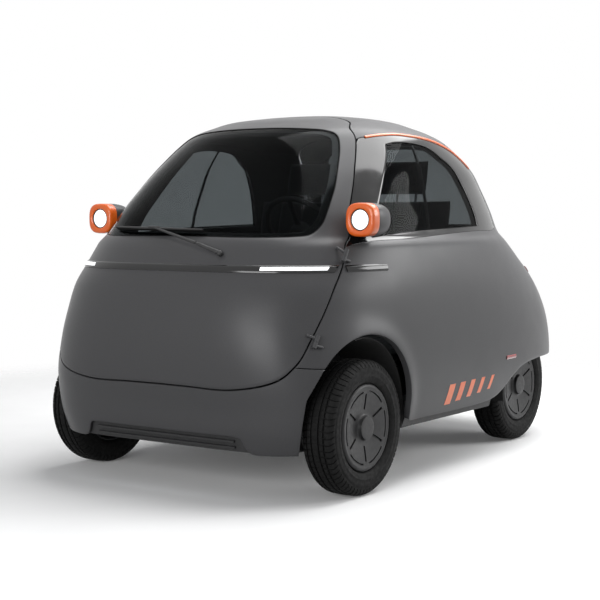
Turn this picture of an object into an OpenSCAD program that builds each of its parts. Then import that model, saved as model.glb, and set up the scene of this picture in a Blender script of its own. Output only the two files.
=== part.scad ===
// Two-seat electric microcar with one front door, millimetres.
// X points to the car's left, Y to its tail and Z up. The origin is on the ground under its middle.

/* [Body] */
// Width of the bare body across the front wings
body_w = 1492; // [1460:2:1520]
// Distance from the origin to the nose, and to the tail
half_len = 1272; // [1262:1:1290]
// Height of the lowest edge of the body
hem_z = 180; // [165:1:190]
// Height of the ledge under the windows
belt_z = 1008; // [1000:1:1016]
// Height of the roof's highest point
roof_z = 1526; // [1515:1:1545]
// Thickness of the door, with its skin and trim
door_t = 38; // [30:1:40]
// Thickness of the side walls, tail and roof
wall_t = 26; // [20:1:32]
// Thickness of the front bumper, which the front wheels turn behind
bumper_t = 10; // [8:1:11]
// Thickness of the window glass
glass_t = 5; // [4:0.5:6]
// Gap between two panels
seam = 8; // [7:0.5:10]

/* [Wheels] */
// Distance from the nose back to the front axle
front_overhang = 417; // [405:1:430]
// Distance from the rear axle back to the tail
rear_overhang = 561; // [545:1:575]
// Outside radius of a tyre
tyre_r = 266.5; // [258:0.5:270]
// Width of a tyre
tyre_w = 145; // [135:1:150]
// Radius of the wheel where the tyre seats
rim_r = 172; // [168:1:176]
// Distance from the body's side in to a front wheel's outer face
front_inset = 17; // [14:1:22]
// Distance from the body's side in to a rear wheel's outer face
rear_inset = 130; // [124:1:140]
// Radius of the stub axles
stub_r = 20; // [18:0.5:24]
// Radius of the kingpins
kingpin_r = 10; // [8:0.5:12]
// Radius of the front wheel arch
arch_r = 290; // [286:1:296]

/* [Cabin] */
// Distance from the body's side to the end of the seat bench
bench_gap = 226; // [220:2:260]
// Height of the seat cushion's top
seat_z = 560; // [540:5:580]
// Radius of the steering wheel, to the middle of its rim
steer_r = 165; // [150:1:175]
// Thickness of the steering wheel's rim
steer_t = 26; // [22:1:30]

/* [Lamps and mirrors] */
// Radius of a mirror pod
pod_r = 66; // [60:1:70]
// Length of a mirror pod
pod_l = 150; // [140:2:170]
// Height of a mirror pod's axis
pod_z = 1072; // [1066:1:1080]
// Height of the light strip's middle
strip_z = 884; // [876:1:892]
// Height of the light strip
strip_h = 27; // [22:1:30]

/* [Hidden] */
$fn = 48;
EPS = 0.01;

paint = [0.30, 0.30, 0.31];
black = [0.06, 0.06, 0.065];
tinted = [0.15, 0.17, 0.18, 0.5];
orange = [0.95, 0.40, 0.08];
steel = [0.45, 0.46, 0.48];
cloth = [0.16, 0.16, 0.17];
lit = [0.95, 0.96, 1.0];

front_axle = half_len - front_overhang;
rear_axle_y = half_len - rear_overhang;
front_face = body_w / 2 - front_inset;
rear_face = body_w / 2 - rear_inset;
bench_w = body_w - 2 * bench_gap;
axle_z = tyre_r;
arch_z = axle_z + 74.5;
// The body's curves are drawn for one size and stretched to the size that is set.
wide = body_w / 1492;
long = half_len / 1272;
function rise(z) = z < 1008 ? hem_z + (z - 180) * (belt_z - hem_z) / 828 : belt_z + (z - 1008) * (roof_z - belt_z) / 518;
function stretch(keys) = [for (p = keys) [p[0] * wide, p[1] * long, rise(p[2])]];
function stretch_flat(keys) = [for (p = keys) [p[0] * wide, rise(p[1])]];
widest_y = -222 * long;
flare = 10;
// Pieces that meet lie this far apart, and a pin has this clearance in its bore.
fit = 0.3;
turn = 0.08;
// Faceted pieces that follow a curve together keep this far apart, so that their facets stay clear.
bed = 0.9;

// The body as horizontal sections. Each row is: height, how far the front lies behind the nose,
// how far the side lies inside half the body's width, how far the rear lies ahead of the tail,
// and the two exponents of the section's superellipse, front and rear.
function low(t) = hem_z + t * (belt_z - hem_z);
function high(t) = belt_z + t * (roof_z - belt_z);
SECTIONS = [
    [low(0.00), 55, 46, 75, 5.4, 3.8],
    [low(0.10), 36, 21, 45, 5.4, 3.8],
    [low(0.20), 25, 6, 15, 5.3, 3.8],
    [low(0.33), 5, 0, 0, 5.0, 3.7],
    [low(0.49), 0, 0, 15, 4.5, 3.5],
    [low(0.63), 15, 4, 55, 4.1, 3.2],
    [low(0.75), 45, 11, 120, 3.9, 2.9],
    [low(0.85), 82, 22, 218, 3.5, 2.7],
    [low(0.93), 115, 36, 300, 3.3, 2.6],
    [low(0.96), 130, 48, 335, 3.3, 2.6],
    [high(0.00), 160, 84, 345, 3.4, 2.6],
    [high(0.18), 238, 103, 410, 3.3, 2.6],
    [high(0.37), 334, 130, 505, 3.1, 2.7],
    [high(0.56), 435, 161, 615, 2.8, 2.8],
    [high(0.76), 560, 216, 790, 2.6, 2.7],
    [high(0.84), 625, 256, 880, 2.5, 2.5],
    [high(0.90), 710, 318, 1000, 2.4, 2.4],
    [high(0.95), 800, 396, 1120, 2.4, 2.4],
    [high(0.985), 930, 526, 1270, 2.3, 2.3],
    [high(1.00), 1010, 666, 1415, 2.2, 2.2]
];
SIZES = [for (s = SECTIONS) [half_len - s[1] * long, body_w / 2 - s[2] * wide, half_len - s[3] * long, s[4], s[5]]];
HEIGHTS = [for (s = SECTIONS) s[0]];
LAST = len(HEIGHTS) - 1;

// A smooth value between the rows: a cubic through each pair, with slopes from their neighbours.
function slope(i) =
    let (a = max(i - 1, 0), b = min(i + 1, LAST))
    (SIZES[b] - SIZES[a]) / (HEIGHTS[b] - HEIGHTS[a]);
function level(z, lo = 0, hi = LAST) =
    hi - lo < 2 ? lo : let (m = floor((lo + hi) / 2)) z < HEIGHTS[m] ? level(z, lo, m) : level(z, m, hi);
function section(z) =
    let (i = level(z), h = HEIGHTS[i + 1] - HEIGHTS[i])
    let (t = min(max((z - HEIGHTS[i]) / h, 0), 1), u = 1 - t)
    SIZES[i] * (1 + 2 * t) * u * u + slope(i) * h * t * u * u
    + SIZES[i + 1] * t * t * (3 - 2 * t) - slope(i + 1) * h * t * t * u;

// The superellipse read as half the width, and as the distance forward or back.
function round_off(t, n) = pow(max(1 - pow(min(abs(t), 1), n), 0), 1 / n);
function half_width(y, z) =
    let (s = section(z))
    y < widest_y ? s[1] * round_off((widest_y - y) / (widest_y + s[0]), s[3])
                 : s[1] * round_off((y - widest_y) / (s[2] - widest_y), s[4]);
function from_front(p) =
    let (s = section(p[1])) [p[0], widest_y - (widest_y + s[0]) * round_off(p[0] / s[1], s[3]), p[1]];
function from_rear(p) =
    let (s = section(p[1])) [p[0], widest_y + (s[2] - widest_y) * round_off(p[0] / s[1], s[4]), p[1]];
function from_side(p) = [half_width(p[0], p[1]), p[0], p[1]];

// A point is cast onto the body outwards from the middle of the cabin, by halving.
CORE = [0, widest_y + 100, rise(640)];
function inside(q) = q[2] < roof_z && abs(q[0]) < half_width(q[1], q[2]);
function reach(p, lo = 0.5, hi = 1.7, n = 15) =
    n == 0 ? (lo + hi) / 2
           : let (m = (lo + hi) / 2)
             inside(CORE + (p - CORE) * m) ? reach(p, m, hi, n - 1) : reach(p, lo, m, n - 1);
// The front arches flare out a little towards their edge.
function arch_flare(q) =
    let (d = max(norm([q[1] + front_axle, q[2] - arch_z]) - arch_r, 0)) flare * exp(-d * d / 2500);
function cast(p) =
    let (q = CORE + (p - CORE) * reach(p)) q + [sign(q[0]) * min(abs(q[0]) / 300, 1) * arch_flare(q), 0, 0];

// Curves, each a list of points.
function mix(a, b, t) = a * (1 - t) + b * t;
function spline_at(k, i, t) =
    let (n = len(k) - 1, a = k[max(i - 1, 0)], b = k[i], c = k[min(i + 1, n)], d = k[min(i + 2, n)])
    0.5 * (2 * b + (c - a) * t + (2 * a - 5 * b + 4 * c - d) * t * t + (3 * b - a - 3 * c + d) * t * t * t);
function spline(keys, per) = concat(
    [for (i = [0 : len(keys) - 2], s = [0 : per - 1]) spline_at(keys, i, s / per)], [keys[len(keys) - 1]]);
function resample(c, n) =
    [for (i = [0 : n]) let (f = i / n * (len(c) - 1), k = min(floor(f), len(c) - 2)) mix(c[k], c[k + 1], f - k)];
function reverse(c) = [for (i = [len(c) - 1 : -1 : 0]) c[i]];
function slice(c, a, b) = [for (i = [a : b]) c[i]];
function flip(p) = [-p[0], p[1], p[2]];
// A loop from its half at positive X, which runs from one end of the middle line to the other.
function both_halves(half) = concat(half, [for (i = [len(half) - 2 : -1 : 1]) flip(half[i])]);
// A curve across the car from its half, which starts on the middle line.
function across(half) = concat([for (i = [len(half) - 1 : -1 : 1]) flip(half[i])], half);

// Surfaces between curves: a patch between four, and a ring between two loops.
function patch(bottom, top, left, right) =
    let (n = len(bottom) - 1, m = len(left) - 1)
    [for (j = [0 : m]) let (t = j / m) [for (i = [0 : n]) let (s = i / n)
        mix(bottom[i], top[i], t) + mix(left[j], right[j], s)
        - mix(mix(bottom[0], bottom[n], s), mix(top[0], top[n], s), t)]];
function ring(outer, inner, n) =
    [for (j = [0 : n]) [for (i = [0 : len(outer) - 1]) mix(outer[i], inner[i], j / n)]];
// A window's patch from half its loop: the corners are the points number a and b.
function window(half, a, b, n) =
    let (side = slice(half, a, b))
    patch(resample(across(reverse(slice(half, b, len(half) - 1))), n), resample(across(slice(half, 0, a)), n),
          [for (p = reverse(side)) flip(p)], reverse(side));

function unit(v) = v / max(norm(v), EPS / 1000);
// The body's outward normal: how fast the superellipse's sum grows in X, Y and Z.
function reach_y(y, s) = y < widest_y ? widest_y + s[0] : s[2] - widest_y;
function sum_at(p) =
    let (s = section(p[2]), n = p[1] < widest_y ? s[3] : s[4])
    pow(abs(p[0]) / s[1], n) + pow(abs(p[1] - widest_y) / reach_y(p[1], s), n);
function normal(p) =
    let (s = section(p[2]), n = p[1] < widest_y ? s[3] : s[4], y = p[1] - widest_y, r = reach_y(p[1], s))
    unit([sign(p[0]) * n * pow(abs(p[0]) / s[1], n - 1) / s[1], sign(y) * n * pow(abs(y) / r, n - 1) / r,
          (sum_at(p + [0, 0, 2]) - sum_at(p - [0, 0, 2])) / 4]);

// Each point moves along the body at right angles to its edge, to the side where the next row lies.
function dots(a, b) = [for (i = [0 : len(a) - 1]) a[i] * b[i]];
function total(v) = v * [for (x = v) 1];
function pull(edge, to, d) =
    let (n = len(edge) - 1)
    let (aside = [for (i = [0 : n]) unit(cross(normal(edge[i]), edge[min(i + 1, n)] - edge[max(i - 1, 0)]))])
    edge + d * sign(total(dots(aside, to - edge))) * aside;
function trim_rows(g, first, last) =
    let (m = len(g) - 1) concat([pull(g[0], g[1], first)], slice(g, 1, m - 1), [pull(g[m], g[m - 1], last)]);
function trim_ends(g, first, last) =
    let (n = len(g[0]) - 1)
    let (a = pull([for (r = g) r[0]], [for (r = g) r[1]], first),
         b = pull([for (r = g) r[n]], [for (r = g) r[n - 1]], last))
    [for (j = [0 : len(g) - 1]) concat([a[j]], slice(g[j], 1, n - 1), [b[j]])];

// A grid cast onto the body, and one sunk to a depth under its surface.
function on_body(g) = [for (r = g) [for (p = r) cast(p)]];
function sunk(g, depth) = [for (r = g) [for (p = r) p - depth * normal(p)]];
// Whether a grid's rows and columns turn the way that looks outwards.
function faces_out(g) =
    let (j = floor(len(g) / 2), i = floor(len(g[0]) / 3), p = g[j][i])
    cross(g[j][i + 1] - p, g[max(j - 1, 0)][i] - p) * normal(p) < 0;

// A solid sheet between the grids a and b. A closed one has each row in a ring.
module sheet(a, b, closed = false) {
    m = len(a);
    n = len(a[0]);
    last = closed ? n - 1 : n - 2;
    function id(k, j, i) = k * m * n + j * n + i % n;
    function quad(p, q, r, s) = [[p, q, r], [p, r, s]];
    function skin(k, j, i) = k == 0
        ? quad(id(0, j, i), id(0, j, i + 1), id(0, j + 1, i + 1), id(0, j + 1, i))
        : quad(id(1, j, i), id(1, j + 1, i), id(1, j + 1, i + 1), id(1, j, i + 1));
    function hem(j, i) = j == 0
        ? quad(id(0, 0, i), id(1, 0, i), id(1, 0, i + 1), id(0, 0, i + 1))
        : quad(id(0, j, i), id(0, j, i + 1), id(1, j, i + 1), id(1, j, i));
    function side(j, i) = i == 0
        ? quad(id(0, j, 0), id(0, j + 1, 0), id(1, j + 1, 0), id(1, j, 0))
        : quad(id(0, j, i), id(1, j, i), id(1, j + 1, i), id(0, j + 1, i));
    faces = concat(
        [for (k = [0, 1], j = [0 : m - 2], i = [0 : last]) each skin(k, j, i)],
        [for (j = [0, m - 1], i = [0 : last]) each hem(j, i)],
        closed ? [] : [for (j = [0 : m - 2], i = [0, n - 1]) each side(j, i)]);
    polyhedron(concat([for (r = a, p = r) p], [for (r = b, p = r) p]), faces, convexity = 8);
}
// A panel between two depths under the body's surface.
module panel(g, out, in, closed = false) {
    if (faces_out(g)) sheet(sunk(g, in), sunk(g, out), closed);
    else sheet(sunk(g, out), sunk(g, in), closed);
}
// A panel that opens has its inner edge drawn in as well, so that it swings clear of its neighbours.
module drafted(g, depth, edge, draft) {
    a = trim_rows(on_body(g), edge, fit / 2);
    b = sunk(trim_rows(on_body(g), edge + draft, fit / 2), depth);
    if (faces_out(a)) sheet(b, a, true);
    else sheet(a, b, true);
}
module both_sides() {
    children();
    mirror([1, 0, 0]) children();
}

// The seams, on the car's left. Those seen from the front or rear are given as X and Z.
DOOR = stretch_flat([[0, 1516.2], [200, 1511], [330, 1489.7], [400, 1451.9], [462, 1398.1],
    [526, 1271.1], [569, 1149.9], [600, 1031.8], [628, 967], [648, 886],
    [656, 770], [636, 617], [604, 524], [530, 462], [353, 428],
    [150, 429], [0, 430]]);
SCREEN = stretch_flat([[0, 1456.1], [120, 1455], [226, 1450.9], [330, 1442.1], [395, 1419.8],
    [440, 1365.4], [480, 1285.1], [512, 1204.8], [531, 1134.9], [541, 1080],
    [540, 1044.8], [528, 1017.8], [500, 1008], [400, 1004], [260, 1004],
    [120, 1006], [0, 1007]]);
per = 2;
door_seam = [for (p = spline(DOOR, per)) from_front(p)];
screen_edge = [for (p = spline(SCREEN, per)) from_front(p)];

HATCH = stretch_flat([[0, 1478], [200, 1474], [330, 1452], [420, 1400], [470, 1300], [505, 1170], [532, 1040], [538, 960],
    [534, 912], [500, 889], [400, 882], [200, 880], [0, 880]]);
REAR_WINDOW = stretch_flat([[0, 1425], [160, 1422], [280, 1405], [360, 1365], [405, 1290], [432, 1200], [448, 1120], [446, 1075],
    [425, 1048], [380, 1035], [280, 1028], [140, 1026], [0, 1026]]);
hatch_seam = [for (p = spline(HATCH, per)) from_rear(p)];
rear_window_edge = [for (p = spline(REAR_WINDOW, per)) from_rear(p)];
TAIL = stretch_flat([[534, 912], [543, 850], [552, 760], [562, 600], [566, 500], [560, 400]]);
tail_seam = [for (p = resample(spline(TAIL, per), 5)) from_rear(p)];

// The belt, the roof rail and the line down the back of the side window.
BELT = stretch([[628, -871, 967], [655, -720, 987], [676, -500, 994], [664, -186, 1004],
    [628, 200, 1010], [600, 399, 1014], [560, 511, 1025]]);
RAIL = stretch([[462, -519, 1398], [490, -400, 1413], [502, -250, 1421], [508, -50, 1412], [505, 100, 1388]]);
BACK = stretch([[505, 100, 1388], [505, 210, 1360], [520, 330, 1300], [545, 430, 1180], [560, 511, 1025]]);

// The lower edges: round the front arch, along the sill and over the rear wheel.
arch_start = 143;
arch_end = 0;
arch = [for (i = [0 : 12]) let (a = arch_start + (arch_end - arch_start) * i / 12)
    from_side([-front_axle + arch_r * cos(a), arch_z + arch_r * sin(a)])];
tail_end = tail_seam[len(tail_seam) - 1];
function behind_axle(t) = mix(rear_axle_y - 32, tail_end[1], t);
SILL = [[arch_r - front_axle, arch_z], [arch_r - front_axle + 3, rise(290)], [315 - front_axle, rise(258)],
    [455 - front_axle, rise(256)], [mix(455 - front_axle, rear_axle_y - 561, 0.545), rise(254)],
    [rear_axle_y - 561, rise(260)], [rear_axle_y - 451, rise(285)], [rear_axle_y - 331, rise(350)],
    [rear_axle_y - 211, rise(392)], [behind_axle(0), rise(406)], [behind_axle(0.44), rise(404)],
    [behind_axle(0.75), rise(402)]];
sill = [for (p = spline(SILL, 2)) from_side(p)];
// From the corner of the door to the front arch.
wing_seam = resample([door_seam[12 * per], arch[0]], 2);

// Body panels.
side_bottom = concat(wing_seam, slice(arch, 1, 12), slice(sill, 1, len(sill) - 1), [tail_seam[len(tail_seam) - 1]]);
side_top = concat(spline(BELT, 3), [hatch_seam[6 * per]]);
function top_at(y) = [lookup(y, [for (p = side_top) [p[1], p[0]]]), y, lookup(y, [for (p = side_top) [p[1], p[2]]])];
function side_grid() =
    let (a = side_bottom[0][1], b = side_bottom[len(side_bottom) - 1][1], c = side_top[0][1],
         d = side_top[len(side_top) - 1][1])
    patch(side_bottom, [for (p = side_bottom) top_at(c + (d - c) * (p[1] - a) / (b - a))],
          resample(reverse(slice(door_seam, 8 * per, 12 * per)), 9),
          concat(reverse(tail_seam), reverse(slice(hatch_seam, 7 * per - 1, 7 * per + 1)), [hatch_seam[6 * per]]));
module side_panel_left() {
    g = trim_rows(trim_ends(on_body(side_grid()), seam / 2, bed / 2), 0, 2.5 * bed);
    color(paint) panel(g, 0, wall_t);
}
module side_panel_right() {
    mirror([1, 0, 0]) side_panel_left();
}

// The bumper rises in its middle over the air intake.
HEM = stretch_flat([[0, 246], [200, 246], [368, 245], [396, 216], [424, 183], [500, 180],
    [586, 182]]);
BUMPER_END = stretch_flat([[586, 182], [607, 262], [620, 330], [633, 400]]);
module front_bumper() {
    top = across(concat(reverse(slice(door_seam, 12 * per, 16 * per)), slice(wing_seam, 1, 2)));
    bottom = across(resample([for (p = HEM) from_front(p)], 10));
    end = resample(concat([for (p = spline(BUMPER_END, 2)) from_front(p)], [arch[0]]), 7);
    g = trim_rows(on_body(patch(bottom, top, [for (p = end) flip(p)], end)), 0, seam / 2);
    color(paint) panel(g, 0, bumper_t);
}
function band(x, z0, z1, n) =
    [for (z = [z0, z1]) [for (i = [-n : n]) from_front([x * wide * i / n, z])]];
module intake() {
    color(black) {
        panel(on_body(band(440, hem_z + 4, hem_z + 84, 8)), bumper_t + 2 * bed, bumper_t + 18);
        for (z = [hem_z + 18, hem_z + 42]) panel(on_body(band(352, z, z + 8, 6)), 2, bumper_t);
    }
}
module tail_panel() {
    top = across(reverse(slice(hatch_seam, 8 * per, 12 * per)));
    bottom = across(resample([from_rear([0, rise(404)]), from_rear([300 * wide, rise(403)]), tail_end], 8));
    end = reverse(tail_seam);
    // Its columns run from the left to the right, so that its ends are cut across as the side panels' are.
    whole = on_body([for (r = patch(bottom, top, [for (p = end) flip(p)], end)) reverse(r)]);
    m = len(whole) - 1;
    n = len(whole[0]) - 1;
    upper = pull(whole[m], whole[m - 1], seam / 2);
    // Its upper corners slide down the tail seam instead, clear of the tailgate and of the side panels.
    function corner(i) = whole[m][i] + seam * unit(whole[m - 1][i] - whole[m][i]);
    g = concat(slice(whole, 0, m - 1), [concat([corner(0)], slice(upper, 1, n - 1), [corner(n)])]);
    color(paint) panel(trim_ends(g, bed / 2, bed / 2), 0, wall_t);
}
SUNROOF = stretch([[0, -292, 1510], [170, -290, 1505], [284, -262, 1490], [296, -110, 1490], [284, 30, 1480], [170, 60, 1490],
    [0, 62, 1495]]);
// Its points are spread so that its corners face the corners of the roof.
sunroof_line = spline(SUNROOF, 4);
sunroof_edge = concat(slice(resample(slice(sunroof_line, 0, 8), 4), 0, 3),
                      slice(resample(slice(sunroof_line, 8, 16), 12), 0, 11), slice(sunroof_line, 16, 24));
module roof() {
    rail = spline(RAIL, per);
    half = concat(slice(door_seam, 0, 4 * per), slice(rail, 1, 4 * per),
                  [mix(rail[4 * per], hatch_seam[3 * per], 0.5)], reverse(slice(hatch_seam, 0, 3 * per)));
    g = ring(both_halves(half), both_halves(sunroof_edge), 4);
    color(paint) panel(trim_rows(on_body(g), seam / 2, fit / 2), 0, wall_t, true);
}
module sunroof() {
    g = window(sunroof_edge, 4, 16, 8);
    color(black) panel(trim_rows(trim_ends(on_body(g), fit, fit), fit, fit), 2, wall_t - 8);
}
module quarter_panels() {
    g = patch(resample([BACK[4], hatch_seam[6 * per]], 4), resample([RAIL[4], hatch_seam[3 * per]], 4),
              resample(reverse(spline(BACK, 4)), 4 * per), resample(reverse(slice(hatch_seam, 3 * per, 6 * per)), 4 * per));
    color(paint) both_sides()
        panel(trim_rows(trim_ends(on_body(g), bed / 2, seam / 2), fit / 2, fit / 2), 0, wall_t);
}

// The black frame of the side window and its glass.
GLASS_FRONT = stretch([[645, -700, 1000], [612, -590, 1150], [559, -456, 1312], [520, -405, 1375]]);
GLASS_TOP = stretch([[520, -405, 1375], [522, -300, 1384], [528, -150, 1382], [538, -60, 1365], [555, 5, 1330]]);
GLASS_BACK = stretch([[555, 5, 1330], [566, 70, 1290], [590, 140, 1200], [614, 190, 1110], [630, 215, 1036]]);
GLASS_FOOT = stretch([[630, 215, 1036], [648, 0, 1030], [656, -300, 1024], [656, -500, 1016], [645, -700, 1000]]);
function chain(curves, counts) =
    [for (k = [0 : len(curves) - 1]) let (c = resample(spline(curves[k], 4), counts[k])) each slice(c, 0, counts[k] - 1)];
module window_frames() {
    front = reverse(slice(door_seam, 4 * per + 1, 8 * per));
    outer = concat(pull(front, [for (p = front) p + [0, 100, 0]], seam / 2),
                   chain([RAIL, BACK, reverse(BELT)], [4 * per, 4 * per, 6 * per]));
    inner = chain([GLASS_FRONT, GLASS_TOP, GLASS_BACK, GLASS_FOOT], [4 * per, 4 * per, 4 * per, 6 * per]);
    g = trim_rows(on_body(ring(outer, inner, 3)), fit / 2, fit / 2);
    color(black) both_sides() panel(g, 0, wall_t, true);
}
module side_glass() {
    g = patch(resample(reverse(spline(GLASS_FOOT, 4)), 8), resample(spline(GLASS_TOP, 4), 8),
              resample(spline(GLASS_FRONT, 4), 8), resample(reverse(spline(GLASS_BACK, 4)), 8));
    color(tinted) both_sides()
        panel(trim_rows(trim_ends(on_body(g), fit, fit), fit, fit), 3, 3 + glass_t);
}

// Trim strips that stand a little proud of the body.
strip_out = 5;
module roof_strips() {
    line = concat(spline(RAIL, 3), slice(spline(BACK, 3), 1, 6));
    g = [for (d = [6, -6]) [for (p = slice(line, 1, len(line) - 1)) p + [d * 0.6, 0, -d]]];
    color(orange) both_sides() panel(on_body(g), -strip_out - fit, -bed);
}
module wing_strips() {
    g = [for (z = [strip_z - strip_h / 2, strip_z + strip_h / 2])
        [for (i = [0 : 5]) from_side([mix(-903, -687, i / 5) * long, z])]];
    color(black) both_sides() panel(on_body(g), -strip_out - fit, -bed);
}
module light_strip() {
    color(black)
        panel(on_body(band(638, strip_z - strip_h / 2, strip_z + strip_h / 2, 22)), -strip_out - fit, -2 * bed);
}
module lamp_bars() {
    g = [for (z = [strip_z - 7, strip_z + 7]) [for (i = [0 : 9]) from_front([mix(424, 620, i / 9) * wide, z])]];
    color(lit) both_sides() panel(on_body(g), -strip_out - 4, -strip_out - bed);
}
module rear_lamps() {
    g = [for (z = [790, 830]) [for (i = [0 : 8]) from_rear([mix(330, 520, i / 8) * wide, rise(z)])]];
    color([0.6, 0.05, 0.05]) both_sides() panel(on_body(g), -12, -bed);
}
module side_reflectors() {
    g = [for (z = [432, 450]) [for (y = [411, 361, 311]) from_side([rear_axle_y - y, rise(z)])]];
    color([0.6, 0.05, 0.05]) both_sides() panel(on_body(g), -4, -fit);
}

// The door: one panel with the windscreen's opening, hinged on the car's left.
module door_shell() {
    color(paint) drafted(ring(both_halves(door_seam), both_halves(screen_edge), 6), door_t, seam / 2, 6);
}
module windscreen() {
    g = window(screen_edge, 4 * per, 11 * per, 14);
    color(tinted)
        panel(trim_rows(trim_ends(on_body(g), bed, bed), bed, 1.5 * bed), 3, 3 + glass_t);
}

// The tailgate and its window.
module hatch() {
    color(paint) drafted(ring(both_halves(hatch_seam), both_halves(rear_window_edge), 3), wall_t, seam / 2 + 1.5, 4);
}
module rear_window() {
    g = window(rear_window_edge, 3 * per, 8 * per, 10);
    color(tinted)
        panel(trim_rows(trim_ends(on_body(g), bed, bed), bed, bed), 3, 3 + glass_t);
}

// A round bar between two points, and a bar along X or Y.
module rod(a, b, r) {
    d = b - a;
    translate(a) rotate([0, acos(d[2] / norm(d)), atan2(d[1], d[0])]) cylinder(h = norm(d), r = r);
}
module x_bar(r, h) {
    rotate([0, 90, 0]) cylinder(r = r, h = h, center = true);
}

// The mirror pods carry the headlamps at their front and the mirrors at their back.
pod_x = 680 * wide;
pod_y = -776 * long;
lamp_r = 40;
bezel_l = 46;
module pod_at() {
    both_sides() translate([pod_x, pod_y - pod_l / 2, pod_z]) rotate([-90, 0, 0]) children();
}
pod_seat = cast([604 * wide, pod_y + 52, pod_z - 4]);
pod_foot = pod_seat + (13 + fit) * normal(pod_seat);
module mirror_pods() {
    color(paint) {
        pod_at() rotate_extrude() polygon([[0, bezel_l + fit], [pod_r, bezel_l + fit], [pod_r + 1, bezel_l + 20],
            [pod_r - 1, 80], [pod_r - 6, 115], [pod_r - 11, pod_l - 6], [pod_r - 16, pod_l], [0, pod_l]]);
        both_sides() {
            rod([pod_x - pod_r + 8, pod_y + 40, pod_z], pod_foot, 12);
            translate(pod_foot) sphere(13);
        }
    }
}
module mirror_bezels() {
    color(orange) pod_at() rotate_extrude() polygon([[lamp_r + fit, 0], [pod_r - 14, -2], [pod_r - 4, 4], [pod_r, 14],
        [pod_r, bezel_l], [lamp_r + fit, bezel_l]]);
}
module headlamps() {
    color(lit) pod_at() rotate_extrude() polygon([[0, 2], [18, 3], [30, 6], [lamp_r, 12], [lamp_r, bezel_l], [0, bezel_l]]);
}
module mirror_glass() {
    color([0.7, 0.75, 0.8]) pod_at() translate([0, 0, pod_l + fit]) cylinder(r = pod_r - 18, h = 4);
}

// Inside the door: the shelf under the windscreen.
module door_shelf() {
    color(black) panel(on_body(band(545, belt_z - 76, belt_z - 44, 10)), door_t + 9, door_t + 110);
}
wiper_pivot = from_front([243 * wide, belt_z - 71]);
module wiper() {
    blade = [for (d = [-6, 6]) [for (i = [0 : 10])
        from_front([mix(-392, 117, i / 10) * wide, mix(belt_z + 23, belt_z + 15, i / 10) + d])]];
    middle = from_front([-140 * wide, belt_z + 20]) + [0, -34, 8];
    color(black) {
        panel(on_body(blade), -24, 3 - 2 * bed);
        rod(wiper_pivot + fit * normal(wiper_pivot), wiper_pivot + 28 * normal(wiper_pivot), 14);
        rod(wiper_pivot + [-16, -25, 12], middle, 7);
    }
}

// Chassis: the floor between the wheels with its sills.
floor_z = 205;
floor_t = 24;
board_t = 16;
foot_w = front_face - 289;
mid_w = body_w / 2 - 146;
tail_w = rear_face - 230;
floor_front = -front_axle - 225;
foot_rear = 310 - front_axle;
mid_rear = rear_axle_y - 331;
module floor_tub() {
    color(black) {
        translate([0, 0, floor_z]) linear_extrude(floor_t) polygon([[-foot_w, floor_front], [foot_w, floor_front], [foot_w, foot_rear],
            [mid_w, foot_rear], [mid_w, mid_rear], [tail_w, mid_rear], [tail_w, mid_rear + 180], [-tail_w, mid_rear + 180],
            [-tail_w, mid_rear], [-mid_w, mid_rear], [-mid_w, foot_rear], [-foot_w, foot_rear]]);
        // The toe board and the footwell's sides stand on the floor.
        translate([-foot_w, floor_front, floor_z + floor_t]) cube([2 * foot_w, board_t, 190]);
        both_sides() translate([foot_w - board_t, floor_front + board_t, floor_z + floor_t])
            cube([board_t, foot_rear - floor_front - board_t, 330]);
        both_sides() sill_box();
        // Pads for a jack.
        both_sides() translate([mid_w - 115, -135, floor_z - 10]) cube([70, 70, 10]);
    }
}
module sill_box() {
    g = [for (z = [floor_z + 8, floor_z + 66, floor_z + 124]) 
        [for (i = [0 : 8]) from_side([mix(foot_rear + 10, mid_rear - 130, i / 8), z])]];
    outer = sunk(on_body(g), wall_t + 3);
    inner = [for (r = outer) [for (p = r) [mid_w + fit, p[1], p[2]]]];
    if (faces_out(outer)) sheet(inner, outer);
    else sheet(outer, inner);
}
battery_top = 400;
module battery() {
    color(steel) translate([-330, -270, floor_z + floor_t + fit]) cube([660, 360, battery_top - floor_z - floor_t]);
}
box_w = body_w / 2 - 246;
seat_front = -330;
seat_back_y = 120;
board = 14;
boot_z = 610;
module seat_box() {
    top = seat_z - 120 - fit;
    color(black) {
        difference() {
            translate([-box_w, seat_front, floor_z + floor_t + fit])
                cube([2 * box_w, seat_back_y - seat_front, top - floor_z - floor_t - fit]);
            translate([-box_w + board, seat_front + board, floor_z]) cube([2 * (box_w - board),
                seat_back_y - seat_front - 2 * board, top - board - floor_z]);
        }
        translate([-box_w, seat_back_y, floor_z + floor_t + fit]) cube([2 * box_w, board, boot_z - floor_z - floor_t - fit]);
        translate([-box_w, seat_back_y, boot_z]) cube([2 * box_w, half_len - 362 - seat_back_y, board]);
    }
}

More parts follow.
